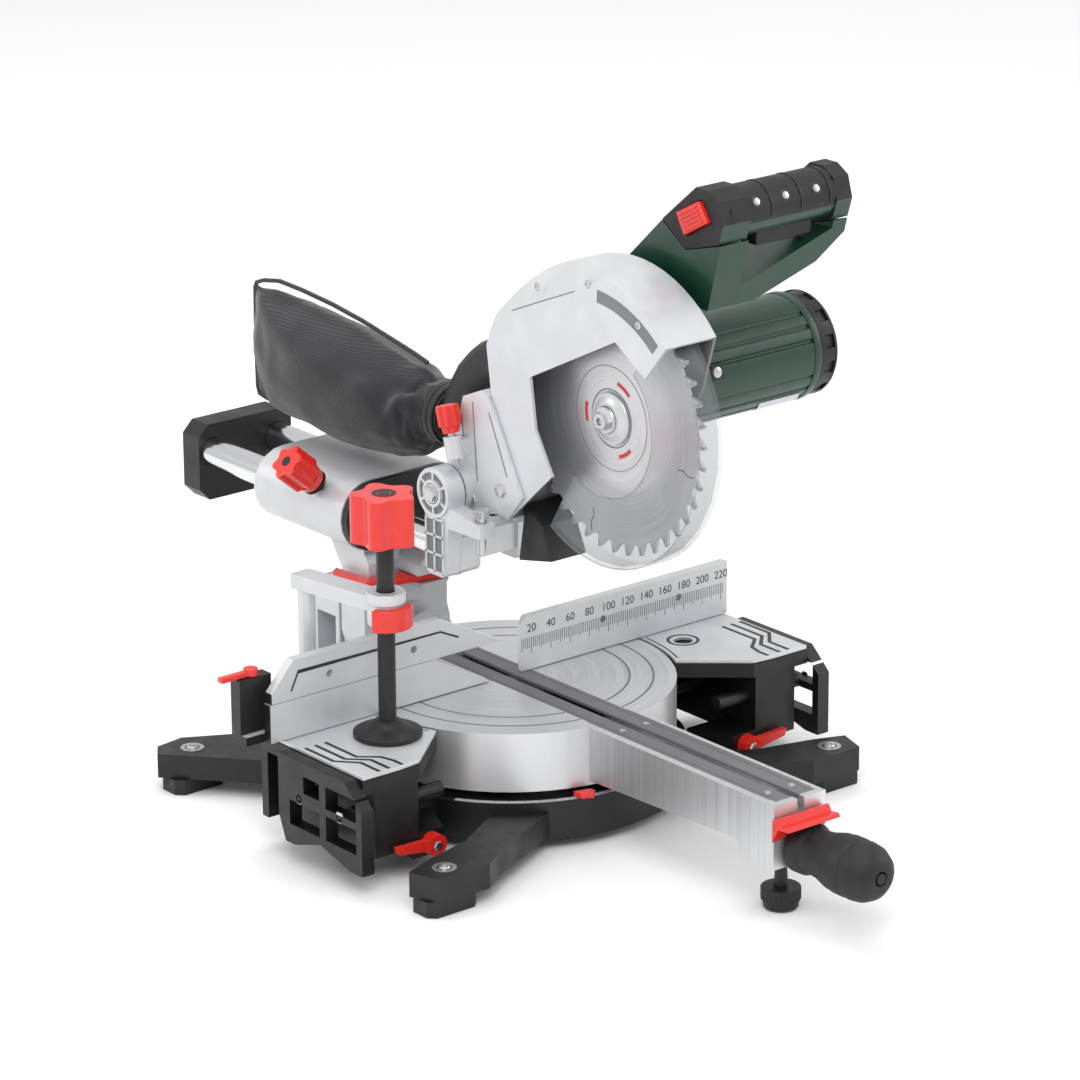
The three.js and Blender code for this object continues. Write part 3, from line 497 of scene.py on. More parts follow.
# ---- pieces ----
class SAW_OT_base(bpy.types.Operator):
    """Cast base, fixed table tops and their grooves, the grooves drawn as painted shade"""
    bl_idname = "saw.base"
    bl_label = "Base"

    def execute(self, context):
        sizes = context.scene.saw_sizes
        rounded_copy("base_casting", "black", sizes.casting_edge)
        for side, name in ((-1, "left"), (1, "right")):
            rounded_copy(f"table_plate_{name}", "silver", sizes.sheet_edge, 1)
            self.grooves(side, name, sizes.groove / MM)
            self.foot(side, name)
        self.scale()
        return {"FINISHED"}

    def grooves(self, side, name, width):
        # painted shade: grooves, an arc and a ring on each table top drawn as thin near-black bands where
        # the grooves hold shade
        bm = bmesh.new()
        for i in range(3):
            shift = 9.5 * i
            points = [(-222 + shift, -22), (-222 + shift, -58 - shift * 0.2), (-208 + shift, -74),
                      (-208 + shift, -97)]
            if i == 2:
                points = points[:3] + [(-186, -86), (-186, -97)]
            band(bm, [(x * -side, y) for x, y in points], width, "Z", *TABLE_SHADE_BAND)
        arc = ring_points(0, 0, 137.8, 181, 203, 10)
        band(bm, [(x * -side, y) for x, y in arc], 1.4, "Z", *TABLE_SHADE_BAND)
        if side > 0:
            lathe(bm, [(93.9, 11.0), (94.12, 11.0), (94.12, 13.5), (93.9, 13.5), (93.9, 11.0)], "Z",
                  (157.3, -25.6, 0))
        finish_piece(f"table_groove_shade_{name}", bm, "base", "ink", weighted=False)

    def foot(self, side, name):
        bm = bmesh.new()
        for y in (-160, 166):
            screw(bm, "Z", (side * 196, y, 31.6), 5.0, 2.2)
            lathe(bm, [(0, 6.0), (0.5, 6.0), (0.5, 9.5), (0, 9.5), (0, 6.0)], "Z", (side * 196, y, 32))
        finish_piece(f"foot_screws_{name}", bm, "base", "steel")

    def scale(self):
        bm = bmesh.new()
        outline = ring_points(0, 0, 139.2, 212, 328, 48) + ring_points(0, 0, 134.9, 328, 212, 48)
        slab(bm, outline, "Z", 40.0, 40.35)
        finish_piece("mitre_scale_plate", bm, "base", "silver")
        marks = bmesh.new()
        for degree in range(-55, 56, 5):
            a = radians(270 + degree)
            inner = 135.4 if degree % 15 else 134.9
            start_at, end_at = (inner * cos(a), inner * sin(a)), (137.0 * cos(a), 137.0 * sin(a))
            band(marks, [start_at, end_at], 0.6, "Z", 40.3, 40.45)
        finish_piece("mitre_scale_marks", marks, "base", "ink", weighted=False)


class SAW_OT_fences(bpy.types.Operator):
    """Right fence with its scale, left fixed and sliding fences"""
    bl_idname = "saw.fences"
    bl_label = "Fences"

    def execute(self, context):
        sizes = context.scene.saw_sizes
        for node in ("fence_right", "fence_fixed_left", "fence_slide_left"):
            fence = rounded_copy(node, "silver", sizes.sheet_edge * 1.6)
            repaint(fence, "black", lambda spot, out: spot.x < -0.232)
        rounded_copy("fence_lock_lever", "red", sizes.knob_edge)
        marks = bmesh.new()
        for x in range(10, 224, 2):
            tall = 14.0 if x % 20 == 0 else 11.5 if x % 10 == 0 else 9.0
            slab(marks, [(x - 0.22, 122 - tall), (x + 0.22, 122 - tall), (x + 0.22, 122), (x - 0.22, 122)],
                 "Y", -0.1, 0.05)
        finish_piece("fence_scale_marks", marks, "base", "ink", weighted=False)
        for value in range(20, 221, 20):
            spot = Matrix.Translation((value * MM, -0.00005, 0.1294)) @ Matrix.Rotation(pi / 2, 4, "X")
            figures = words(str(value), sizes.figure / MM, spot, f"figure_{value}")
            finish_piece(f"fence_figure_{value}", figures, "base", "ink", weighted=False)
        # painted shade: a near-black band stands for the shaded groove along the sliding fence
        line = bmesh.new()
        band(line, [(-218, 133), (-211, 147.5), (-72, 147.5), (-54, 139)], 1.6, "Y", -0.12, 0.05)
        finish_piece("fence_slide_groove_shade", line, "sliding_fence", "ink", weighted=False)
        bolts = bmesh.new()
        for x in (158, 206):
            screw(bolts, "Z", (x, 17, 101.6), 5.5, 3.2)
        for x in (-206, -164):
            screw(bolts, "Z", (x, 20, 101.6), 5.0, 3.0)
        finish_piece("fence_bolts", bolts, "base", "steel")
        return {"FINISHED"}


class SAW_OT_table_ends(bpy.types.Operator):
    """Pull-out table ends, their rods and clamping levers"""
    bl_idname = "saw.table_ends"
    bl_label = "Table ends"

    def execute(self, context):
        sizes = context.scene.saw_sizes
        for side, name in ((-1, "left"), (1, "right")):
            rounded_copy(f"table_end_{name}", "black", sizes.casting_edge)
            rounded_copy(f"table_lever_{name}", "red", sizes.knob_edge)
            bm = bmesh.new()
            for y in (-34, -85):
                lathe(bm, [(-1, 0), (-0.2, 0), (0, 2.0), (0, 3.6), (-0.1, 5.0), (-1, 5.0), (-1, 0)], "X",
                      (0, 0, 0), 6,
                      Matrix.Translation(Vector((side * 238, y,
                                                 60)) * MM) @ Matrix.Rotation(0 if side > 0 else pi, 4,
                                                         "Z"))
            finish_piece(f"rod_bolts_{name}", bm, f"table_{name}", "steel")
            hub = bmesh.new()
            lathe(hub, [(0, 0), (-1.2, 0), (-1.6, 3.4), (-0.6, 4.2), (0, 4.2), (0, 0)], "Y",
                  (side * 161.3, -108, 24.2), 6)
            finish_piece(f"lever_bolt_{name}", hub, f"table_lever_{name}", "steel")
        return {"FINISHED"}


class SAW_OT_clamp(bpy.types.Operator):
    """Work clamp: post and arm, spindle with its pad, knob and release"""
    bl_idname = "saw.clamp"
    bl_label = "Work clamp"

    def execute(self, context):
        sizes = context.scene.saw_sizes
        x, y = CLAMP_AXIS
        rounded_copy("clamp_holder", "silver", sizes.casting_edge * 0.6)
        rounded_copy("clamp_release", "red", sizes.knob_edge)
        bm = bmesh.new()
        lathe(bm, [(94.3, 0), (94.3, 26.2), (95.2, 27), (98.0, 27), (99.6, 24), (101.4, 15), (104, 12.5),
                   (106.5, 10.5),
                   (107.6, 6.9), (249.6, 6.9), (249.9, 6.5), (249.9, 0)], "Z", (x, y, 0), 48)
        finish_piece("clamp_spindle_turned", bm, "clamp_screw", "moulded",
                     ("clamp_spindle",))
        knob = bmesh.new()
        slab(knob, lobed(x, y, 22.6, 3.6, 5, 80), "Z", 252, 290.6)
        soften(knob, 2.6 * MM, 50, 3)
        lathe(knob, [(250.4, 0), (250.4, 13), (252.4, 13), (252.4, 0)], "Z", (x, y, 0), 32)
        finish_piece("clamp_knob_moulded", knob, "clamp_knob", "red", ("clamp_knob",))
        # painted shade: a near-black ring and disc stand for the shaded recess in the knob top
        top = bmesh.new()
        lathe(top, [(290.6, 5.5), (290.8, 5.6), (290.9, 9.5), (290.6, 9.6)], "Z", (x, y, 0), 32)
        lathe(top, [(290.6, 0), (290.75, 0), (290.75, 4.8), (290.6, 4.8)], "Z", (x, y, 0), 24)
        finish_piece("clamp_knob_recess_shade", top, "clamp_knob", "ink", weighted=False)
        collar = bmesh.new()
        lathe(collar, [(186.1, 7.6), (186.1, 13.6), (187, 14.3), (203, 14.3), (204, 15.4), (211, 15.4),
                       (212.3, 14.6),
                       (212.3, 7.6)], "Z", (x, y, 0), 40)
        finish_piece("clamp_collar", collar, "clamp", "silver")
        return {"FINISHED"}


class SAW_OT_turntable(bpy.types.Operator):
    """Turntable with its arm, kerf inserts, grip, latch and foot"""
    bl_idname = "saw.turntable"
    bl_label = "Turntable"

    def execute(self, context):
        sizes = context.scene.saw_sizes
        rounded_copy("turntable", "table", sizes.casting_edge * 0.7)
        for node in ("kerf_insert_left", "kerf_insert_right"):
            rounded_copy(node, "insert", sizes.sheet_edge, 1)
        rounded_copy("mitre_pointer", "red", sizes.knob_edge * 0.6)
        rounded_copy("bevel_yoke", "silver", sizes.casting_edge * 1.6)
        rounded_copy("bevel_shaft", "steel", sizes.sheet_edge)
        rounded_copy("detent_lever", "red", sizes.knob_edge)
        self.rings()
        self.inserts()
        self.grip()
        self.foot()
        self.yoke_trim()
        return {"FINISHED"}

    def rings(self):
        # painted shade: the turntable's grooves drawn as thin bands of the darkened silver
        bm = bmesh.new()
        for r in (93.4, 112.4):
            gap = math.degrees(math.asin(21 / r))
            for low, high in ((-90 + gap, 90 - gap), (90 + gap, 270 - gap)):
                band(bm, ring_points(0, 0, r, low, high, 48), 2.0, "Z", 93.9, 94.08)
        for s in (-1, 1):
            band(bm, [(s * 20.6, -118), (s * 20.6, -330)], 0.8, "Z", 93.9, 94.08)
        finish_piece("turntable_groove_shade", bm, "turntable", "shadow", weighted=False)

    def inserts(self):
        bm = bmesh.new()
        for s in (-1, 1):
            for y in (-318, -150):
                screw(bm, "Z", (s * 12, y, 93.7), 3.0, 0.9)
        finish_piece("insert_screws", bm, "turntable", "steel")
        ribs = bmesh.new()
        for s in (-1, 1):
            band(ribs, [(s * 16.5, -333), (s * 16.5, 66)], 1.0, "Z", 93.9, 94.3)
        finish_piece("insert_beads", ribs, "turntable", "insert")

    def grip(self):
        bm = bmesh.new()
        profile = [(-431, 0), (-431, 4.2), (-427.5, 4.6), (-430.6, 6.0), (-430, 12), (-425, 18.5),
                   (-417, 22.4),
                   (-409, 23.3), (-405.5, 22.2), (-402, 23.4), (-393, 23.3), (-389.5, 21.8), (-386, 22.4),
                   (-376, 19.6), (-372.5, 18.2), (-369, 18.4), (-363, 17.0), (-358, 18.6), (-355.5, 20.3),
                   (-346, 20.5), (-344.3, 19.5), (-344.3, 0)]
        lathe(bm, profile, "Y", (0, 0, 56.5), 64)
        finish_piece("mitre_grip_moulded", bm, "mitre_grip", "grip", ("mitre_grip",))
        stem = bmesh.new()
        lathe(stem, [(-344.6, 0), (-344.6, 7.9), (-335, 7.9), (-335, 0)], "Y", (0, 0, 56.5), 24)
        finish_piece("mitre_grip_stem", stem, "mitre_grip", "steel")

    def foot(self):
        bm = bmesh.new()
        lathe(bm, [(17, 0), (17, 5.5), (30, 4.9), (63.5, 4.9), (63.5, 0)], "Z", (-1, -322, 0), 20)
        finish_piece("arm_foot_stud", bm, "arm_foot", "moulded", ("arm_foot",))
        knob = bmesh.new()
        slab(knob, lobed(-1, -322, 15.0, 0.5, 24, 120), "Z", 6.5, 17.2)
        soften(knob, 0.5 * MM, 60, 1)
        lathe(knob, [(0.4, 0), (0.4, 12.6), (1.4, 13.6), (6.6, 14.2), (6.6, 0)], "Z", (-1, -322, 0), 40)
        finish_piece("arm_foot_knob", knob, "arm_foot", "moulded")

    def yoke_trim(self):
        bm = bmesh.new()
        for x, z in ((-37, 60), (-37, 112), (37, 60), (37, 112)):
            screw(bm, "Y", (x, 204.8, z), 3.6, 1.8)
        finish_piece("yoke_screws", bm, "turntable", "steel")
        oval = bmesh.new()
        slab(oval, [(9 * cos(a) + 10, 187 + 6 * sin(a)) for a in (2 * pi * i / 28 for i in range(28))], "Z",
             132.8, 133.6)
        finish_piece("yoke_plug", oval, "turntable", "moulded")
        stops = bmesh.new()
        for s in (-1, 1):
            lathe(stops, [(0, 0), (6, 0), (6.4, 3.2), (6.4, 4.6), (0, 5.2), (0, 0)], "Z", (s * 36, 122, 48),
                  6)
        finish_piece("bevel_stop_bolts", stops, "turntable", "steel")


class SAW_OT_slide(bpy.types.Operator):
    """Bevel arm, rail guide, rails, rear cap and head carrier"""
    bl_idname = "saw.slide"
    bl_label = "Slide"

    def execute(self, context):
        sizes = context.scene.saw_sizes
        rounded_copy("bevel_arm", "silver", sizes.casting_edge * 1.4)
        rounded_copy("rail_guide_plate", "moulded", sizes.sheet_edge * 1.4)
        rounded_copy("bevel_stop_lever", "red", sizes.knob_edge * 0.8)
        rounded_copy("bevel_lock_lever", "moulded", sizes.knob_edge * 1.4)
        rounded_copy("rail_end_cap", "moulded", sizes.mould_edge * 1.3, 3)
        rounded_copy("head_carrier", "silver", sizes.casting_edge)
        rounded_copy("head_pivot_pin", "steel", sizes.sheet_edge)
        rounded_copy("depth_stop_screw", "steel", sizes.sheet_edge)
        rounded_copy("head_spring", "steel", 0.0001, 1)
        for s, name in ((-1, "left"), (1, "right")):
            bm = bmesh.new()
            lathe(bm, [(18, 0), (18, 9.0), (17.9 + 1.2, 11.2), (20.2, 12.5), (371.5, 12.5), (373, 11),
                       (373, 0)], "Y",
                  (s * 33, 0, 200.5), 64)
            finish_piece(f"rail_{name}_ground", bm, "carriage", "rail", (f"rail_{name}",))
        self.lock_knob()
        self.ear()
        self.cap_trim()
        return {"FINISHED"}

    def lock_knob(self):
        inner, outer = Vector((-62, 176, 225.2)), Vector((-89, 176, 248.15))
        along = (outer - inner).normalized()
        turn = aimed(inner, along)
        span = (outer - inner).length
        knob = bmesh.new()
        slab(knob, lobed(0, 0, 13.6, 1.8, 6, 72), "Z", 9, span, turn)
        soften(knob, 1.6 * MM, 50, 2)
        lathe(knob, [(0, 0), (0, 9.5), (2, 11), (9, 12.5), (9, 0)], "Z", (0, 0, 0), 32, turn)
        finish_piece("rail_lock_star", knob, "rail_lock", "red", ("rail_lock_knob",))
        washer = bmesh.new()
        lathe(washer, [(-1.8, 5), (-1.8, 11), (-0.1, 11), (-0.1, 5), (-1.8, 5)], "Z", (0, 0, 0), 32, turn)
        lathe(washer, [(span - 0.2, 0), (span + 0.1, 0), (span + 0.1, 4.4), (span - 0.2, 4.4)], "Z",
              (0, 0, 0), 24, turn)
        lathe(washer, [(-23, 0), (-23, 3.9), (-1.8, 3.9), (-1.8, 0)], "Z", (0, 0, 0), 20, turn)
        finish_piece("rail_lock_washer", washer, "rail_lock", "moulded")

    def ear(self):
        """Ribbed outer face of the left hinge ear."""
        bm = bmesh.new()
        y, z = 27.7, 251.6
        lathe(bm, [(-56.6, 16.8), (-56.6, 19.6), (-54.8, 19.9), (-54.8, 16.6), (-56.6, 16.8)], "X",
              (0, y, z), 48)
        lathe(bm, [(-57.6, 8.4), (-57.6, 11), (-54.8, 11.4), (-54.8, 8.4), (-57.6, 8.4)], "X", (0, y, z),
              40)
        for i in range(6):
            a = radians(60 * i + 30)
            band(bm, [(y + 10.8 * cos(a), z + 10.8 * sin(a)), (y + 17 * cos(a), z + 17 * sin(a))], 2.2, "X",
                 -56.4, -54.8)
        for u in (15.9, 26.5, 37.1):
            band(bm, [(u, 186.5), (u, 231)], 1.8, "X", -56.4, -54.8)
        for v in (187, 202, 217, 231):
            band(bm, [(15.2, v), (37.9, v)], 1.8, "X", -56.4, -54.8)
        finish_piece("ear_ribs", bm, "carriage", "silver")
        # painted shade: the pockets between the ear's ribs filled with the darkened silver
        dark = bmesh.new()
        slab(dark, ring_points(y, z, 16.8, 0, 350, 35), "X", -55.15, -54.9)
        slab(dark, [(16.5, 187.5), (36.6, 187.5), (36.6, 230.5), (16.5, 230.5)], "X", -55.15, -54.9)
        finish_piece("ear_pocket_shade", dark, "carriage", "shadow", weighted=False)
        bolt = bmesh.new()
        lathe(bolt, [(-58, 0), (-60.6, 0), (-61.2, 4.2), (-60.4, 6.4), (-58, 6.8), (-58, 0)], "X",
              (0, y, z), 6)
        finish_piece("pivot_bolt_head", bolt, "carriage", "steel")

    def cap_trim(self):
        bm = bmesh.new()
        for s in (-1, 1):
            lathe(bm, [(376.9, 0), (378, 0), (378, 4.5), (377.9, 8.5), (376.9, 9.0)], "Y", (s * 33, 0, 192),
                  28)
        finish_piece("cap_screws", bm, "carriage", "moulded")
        screws = bmesh.new()
        for x, z in ((-45, 186), (45, 186), (-45, 214), (45, 214)):
            screw(screws, "Y", (x, 132.8, z), 3.4, 1.6, -1)
        finish_piece("guide_plate_screws", screws, "bevel_arm", "steel")


class SAW_OT_head(bpy.types.Operator):
    """Upper guard, gear casing and transport lock"""
    bl_idname = "saw.head"
    bl_label = "Saw head"

    def execute(self, context):
        sizes = context.scene.saw_sizes
        self.guard()
        rounded_copy("gear_casing", "silver", sizes.casting_edge)
        rounded_copy("dust_chute", "moulded", sizes.mould_edge * 0.7)
        self.casing_trim()
        self.lock()
        return {"FINISHED"}

    def guard(self):
        bm = merged("upper_guard")
        left = GUARD_LEFT * MM

        def on_rim(edge):
            return all(abs(v.co.x - left) < 1e-5 and abs(math.hypot(v.co.y - BLADE.y,
                    v.co.z - BLADE.z) - 0.124) < 8e-4
                       for v in edge.verts)
        soften(bm, 4.2 * MM, 30, 1, on_rim)
        soften(bm, 0.7 * MM, 40, 2)
        cast = finish_piece("upper_guard_cast", bm, "head", "silver", ("upper_guard",),
                            smooth=28)
        # painted shade: the inner faces inside the blade cavity take the darkened silver
        repaint(cast, "shadow", lambda spot, out: abs(spot.x) < GUARD_INNER and out.dot(GUARD_FACET) < 0.9
                and math.hypot(spot.y - BLADE.y, spot.z - BLADE.z) < GUARD_INNER_R)
        # painted shade: a band of darkened silver on the guard's left face near its nose
        nose = bmesh.new()
        y, z = BLADE.y / MM, BLADE.z / MM
        band(nose, [(y + (106 + 7 * i / 16) * cos(radians(98 + 2.4 * i)),
                     z + (106 + 7 * i / 16) * sin(radians(98 + 2.4 * i)))
                    for i in range(17)], 10, "X", -28.2, -27.9)
        finish_piece("guard_nose_shade", nose, "head", "shadow")
        # painted shade: thin lines of darkened silver along the creases of the guard's left face
        line = bmesh.new()
        band(line, [(-38, 409.6), (-75, 425.3), (-113, 441.2)], 0.9, "X", -28.15, -27.9)
        band(line, [(-20, 316), (-58, 318), (-58, 360), (-76, 369)], 0.01, "X", -28.02, -27.95)
        finish_piece("guard_crease_shade", line, "head", "shadow", weighted=False)
        screws = bmesh.new()
        for a in (60, 92, 124):
            screw(screws, "X", (-28, y + 112 * cos(radians(a)), z + 112 * sin(radians(a))), 3.2, 1.2, -1)
        finish_piece("guard_screws", screws, "head", "steel")

    def casing_trim(self):
        # painted shade: grooves of the gear casing bracket drawn as lines of darkened silver
        lines = bmesh.new()
        band(lines, [(8, 326), (3, 262)], 1.3, "X", -31.15, -30.9)
        band(lines, [(-12, 322), (-34, 275)], 1.3, "X", -31.15, -30.9)
        band(lines, [(22, 312), (18, 282)], 1.3, "X", -31.15, -30.9)
        finish_piece("bracket_groove_shade", lines, "head", "shadow", weighted=False)
        bolt = bmesh.new()
        lathe(bolt, [(-31, 0), (-33.2, 0), (-33.6, 3.4), (-33, 5.4), (-31, 5.8), (-31, 0)], "X",
              (0, -26, 262), 6)
        lathe(bolt, [(-31, 0), (-32.4, 0), (-32.8, 2.4), (-32.2, 4.4), (-31, 4.8), (-31, 0)], "X",
              (0, 10, 246), 24)
        finish_piece("bracket_bolts", bolt, "head", "steel")

    def lock(self):
        foot, tip = Vector((-41, 22.4, 299.5)), Vector((-41, 28, 321))
        turn = aimed(foot, tip - foot)
        span = (tip - foot).length
        bm = bmesh.new()
        slab(bm, lobed(0, 0, 8.6, 0.8, 8, 64), "Z", 5, span, turn)
        soften(bm, 1.2 * MM, 50, 2)
        lathe(bm, [(0, 0), (0, 6.5), (5, 7.4), (5, 0)], "Z", (0, 0, 0), 28, turn)
        finish_piece("transport_lock_knob", bm, "transport_lock", "red", ("transport_lock",))
        pin = bmesh.new()
        lathe(pin, [(-24.5, 0), (-24.5, 2.2), (-23.5, 2.9), (0, 2.9), (0, 0)], "Z", (0, 0, 0), 20, turn)
        finish_piece("transport_lock_pin", pin, "transport_lock", "steel")


class SAW_OT_motor(bpy.types.Operator):
    """Motor housing, its cap, and the working parts inside"""
    bl_idname = "saw.motor"
    bl_label = "Motor"

    def execute(self, context):
        y, z = MOTOR.y / MM, MOTOR.z / MM
        bm = bmesh.new()
        grooves = [20, 36, 52, 128, 144, 160, 200, 216, 232]

        def radius(angle):
            cut = max((1 - abs((angle - g + 180) % 360 - 180) / 2.6 for g in grooves), default=0)
            return 42.8 - 1.5 * max(0, min(1, cut * 1.8))
        rim = [polar(y, z, radius(a), a) for a in
               (i * 360 / 288 for i in range(288))]
        slab(bm, rim, "X", 66, 199)
        lathe(bm, [(46.5, 0), (46.5, 46.0), (47.5, 47.2), (55, 47.2), (58, 46), (62, 44.4), (68, 43.2),
                   (68, 0)],
              "X", (0, y, z), 96)
        lathe(bm, [(197, 0), (197, 43.2), (199, 43.6), (203, 43.6), (204.6, 42.6), (204.6, 0)], "X",
              (0, y, z), 96)
        finish_piece("motor_housing_moulded", bm, "head", "green", ("motor_housing",))
        self.cap(y, z)
        self.label(y, z)
        for node, finish in (("stator", "steel"), ("armature", "copper"), ("motor_bearing_front", "steel"),
                             ("motor_bearing_rear", "steel"), ("spindle_bearing", "steel")):
            rounded_copy(node, finish, 0.0004, 1)
        return {"FINISHED"}

    def cap(self, y, z):
        bm = bmesh.new()
        slots = [15, 45, 75, 105, 135, 165, 195, 225, 255, 285, 315, 345]

        def radius(angle):
            near = min(abs((angle - s + 180) % 360 - 180) for s in slots)
            return 41.8 - (1.8 if near < 6 else 1.8 * max(0, 1 - (near - 6) / 1.5))
        rim = [polar(y, z, radius(a), a) for a in
               (i * 360 / 240 for i in range(240))]
        slab(bm, rim, "X", 209, 220)
        lathe(bm, [(205.4, 0), (205.4, 41.4), (206.2, 42), (209.4, 42), (210, 41.2), (210, 0)], "X",
              (0, y, z), 80)
        lathe(bm, [(219, 0), (219, 42), (221, 42), (222.8, 40.4), (225.6, 36.5), (227.6, 32), (227.9, 24),
                   (226.6, 22),
                   (226.6, 0)], "X", (0, y, z), 80)
        finish_piece("motor_cap_moulded", bm, "head", "moulded", ("motor_end_cap",))

    def label(self, y, z):
        foil = bmesh.new()
        r = 43.15
        for i in range(14):
            a0, a1 = radians(222 + i * 2.4), radians(222 + (i + 1) * 2.4)
            shift = i * 0.8
            quad = [foil.verts.new(Vector((x + s, y + r * cos(a), z + r * sin(a))) * MM) for x, a, s in
                    ((148, a0, shift), (190, a0, shift), (190, a1, shift + 0.8), (148, a1, shift + 0.8))]
            foil.faces.new(quad)
        bmesh.ops.remove_doubles(foil, verts=foil.verts, dist=1e-6)
        bmesh.ops.recalc_face_normals(foil, faces=foil.faces)
        bmesh.ops.solidify(foil, geom=foil.faces[:], thickness=0.00025)
        finish_piece("motor_label_blank", foil, "head", "foil", weighted=False)
        # painted shade: a near-black square patch stands for the shaded well round the housing screw
        recess = bmesh.new()
        a = radians(168)
        spot = Matrix.Translation(Vector((96, y + 42.6 * cos(a), z + 42.6 * sin(a))) * MM)
        turn = Vector((0, cos(a), sin(a))).to_track_quat("Z", "X").to_matrix().to_4x4()
        slab(recess, [(-6, -6), (6, -6), (6, 6), (-6, 6)], "Z", -1, 0.5, spot @ turn)
        finish_piece("motor_screw_well_shade", recess, "head", "ink", weighted=False)
        bolt = bmesh.new()
        lathe(bolt, [(0, 0), (0.9, 0), (1.1, 2.6), (0.6, 4.2), (0, 4.2), (0, 0)], "Z", (0, 0, 0), 20,
              spot @ turn)
        finish_piece("motor_screw", bolt, "head", "steel")


class SAW_OT_blade(bpy.types.Operator):
    """Saw blade, tips, flanges, bolt and the clear lower guard"""
    bl_idname = "saw.blade"
    bl_label = "Blade"

    def execute(self, context):
        sizes = context.scene.saw_sizes
        y, z = BLADE.y / MM, BLADE.z / MM
        rounded_copy("saw_blade", "blade", 0.00015, 1)
        rounded_copy("spindle", "steel", sizes.sheet_edge)
        rounded_copy("gear_wheel", "steel", sizes.sheet_edge)
        tips = bmesh.new()
        size = sizes.tooth_tip / MM
        for i in range(BLADE_TEETH):
            a = radians(-(i * 360 / BLADE_TEETH + 0.9))
            spot = Vector((0, y + 104.9 * cos(a), z + 104.9 * sin(a))) * MM
            turn = Matrix.Translation(spot) @ Matrix.Rotation(a - pi / 2, 4, "X")
            cube = bmesh.ops.create_cube(tips, size=1)["verts"]
            bmesh.ops.transform(tips, matrix=turn @ Matrix.Diagonal((3.0 * MM, 2.2 * MM, size * MM, 1)),
                                verts=cube)
        finish_piece("carbide_tips", tips, "blade", "carbide", weighted=False)
        flange = bmesh.new()
        lathe(flange, [(-1.6, 8.4), (-1.6, 20.6), (-2.2, 21), (-3.4, 20.2), (-3.6, 17), (-5.8, 14),
                       (-6, 12), (-6, 8.4),
                       (-1.6, 8.4)], "X", (0, y, z), 64)
        finish_piece("outer_flange_turned", flange, "blade", "silver", ("outer_flange",))
        # painted shade: two thin rings of the darkened silver on the blade face, the inner one just outside
        # the flange rim
        outline = bmesh.new()
        lathe(outline, [(-1.3, 22.4), (-1.45, 22.4), (-1.45, 23.4), (-1.3, 23.4), (-1.3, 22.4)], "X",
              (0, y, z), 64)
        lathe(outline, [(-1.3, 41.0), (-1.4, 41.0), (-1.4, 41.5), (-1.3, 41.5), (-1.3, 41.0)], "X",
              (0, y, z), 64)
        finish_piece("blade_shade_rings", outline, "blade", "shadow", weighted=False)
        bolt = bmesh.new()
        lathe(bolt, [(-6.3, 0), (-6.3, 10.6), (-7.6, 11), (-8.4, 10.4), (-8.4, 0)], "X", (0, y, z), 40)
        lathe(bolt, [(-8.2, 0), (-8.2, 7.4), (-13.4, 7.4), (-14, 6.6), (-14, 3.4), (-11, 3.2), (-11, 0)],
              "X", (0, y, z), 6)
        finish_piece("blade_bolt_turned", bolt, "blade", "steel", ("blade_bolt",), smooth=30)
        marks = bmesh.new()
        for angle in (-2, 118, 238):
            low, high = angle - 15, angle + 15
            shape = ring_points(y, z, 31.5, low, high, 10) + ring_points(y, z, 28.5, high, low, 10)
            slab(marks, shape, "X", -1.42, -1.25)
        finish_piece("blade_print_marks", marks, "blade", "red_ink", weighted=False)
        # painted shade: near-black lines stand for the shade seen in the blade's expansion slots
        slots = bmesh.new()
        for angle in (14, 104, 194, 284):
            points = [polar(y, z, r, angle + t) for r, t in
                      ((99, 0), (92, 1.5), (86, 0.2), (80, 2.0))]
            band(slots, points, 0.9, "X", -1.36, -1.2)
        finish_piece("blade_slot_shade", slots, "blade", "ink", weighted=False)
        self.lower_guard(y, z)
        return {"FINISHED"}

    def lower_guard(self, y, z):
        rounded_copy("lower_guard", "clear", 0.0004, 1)
        rim = bmesh.new()
        band(rim, ring_points(y, z, 115.2, 131, 301, 60), 1.2, "X", -13.6, -12.6)
        band(rim, ring_points(y, z, 60.5, 131, 301, 40), 1.0, "X", -13.4, -12.8)
        finish_piece("lower_guard_rim", rim, "lower_guard", "clear")


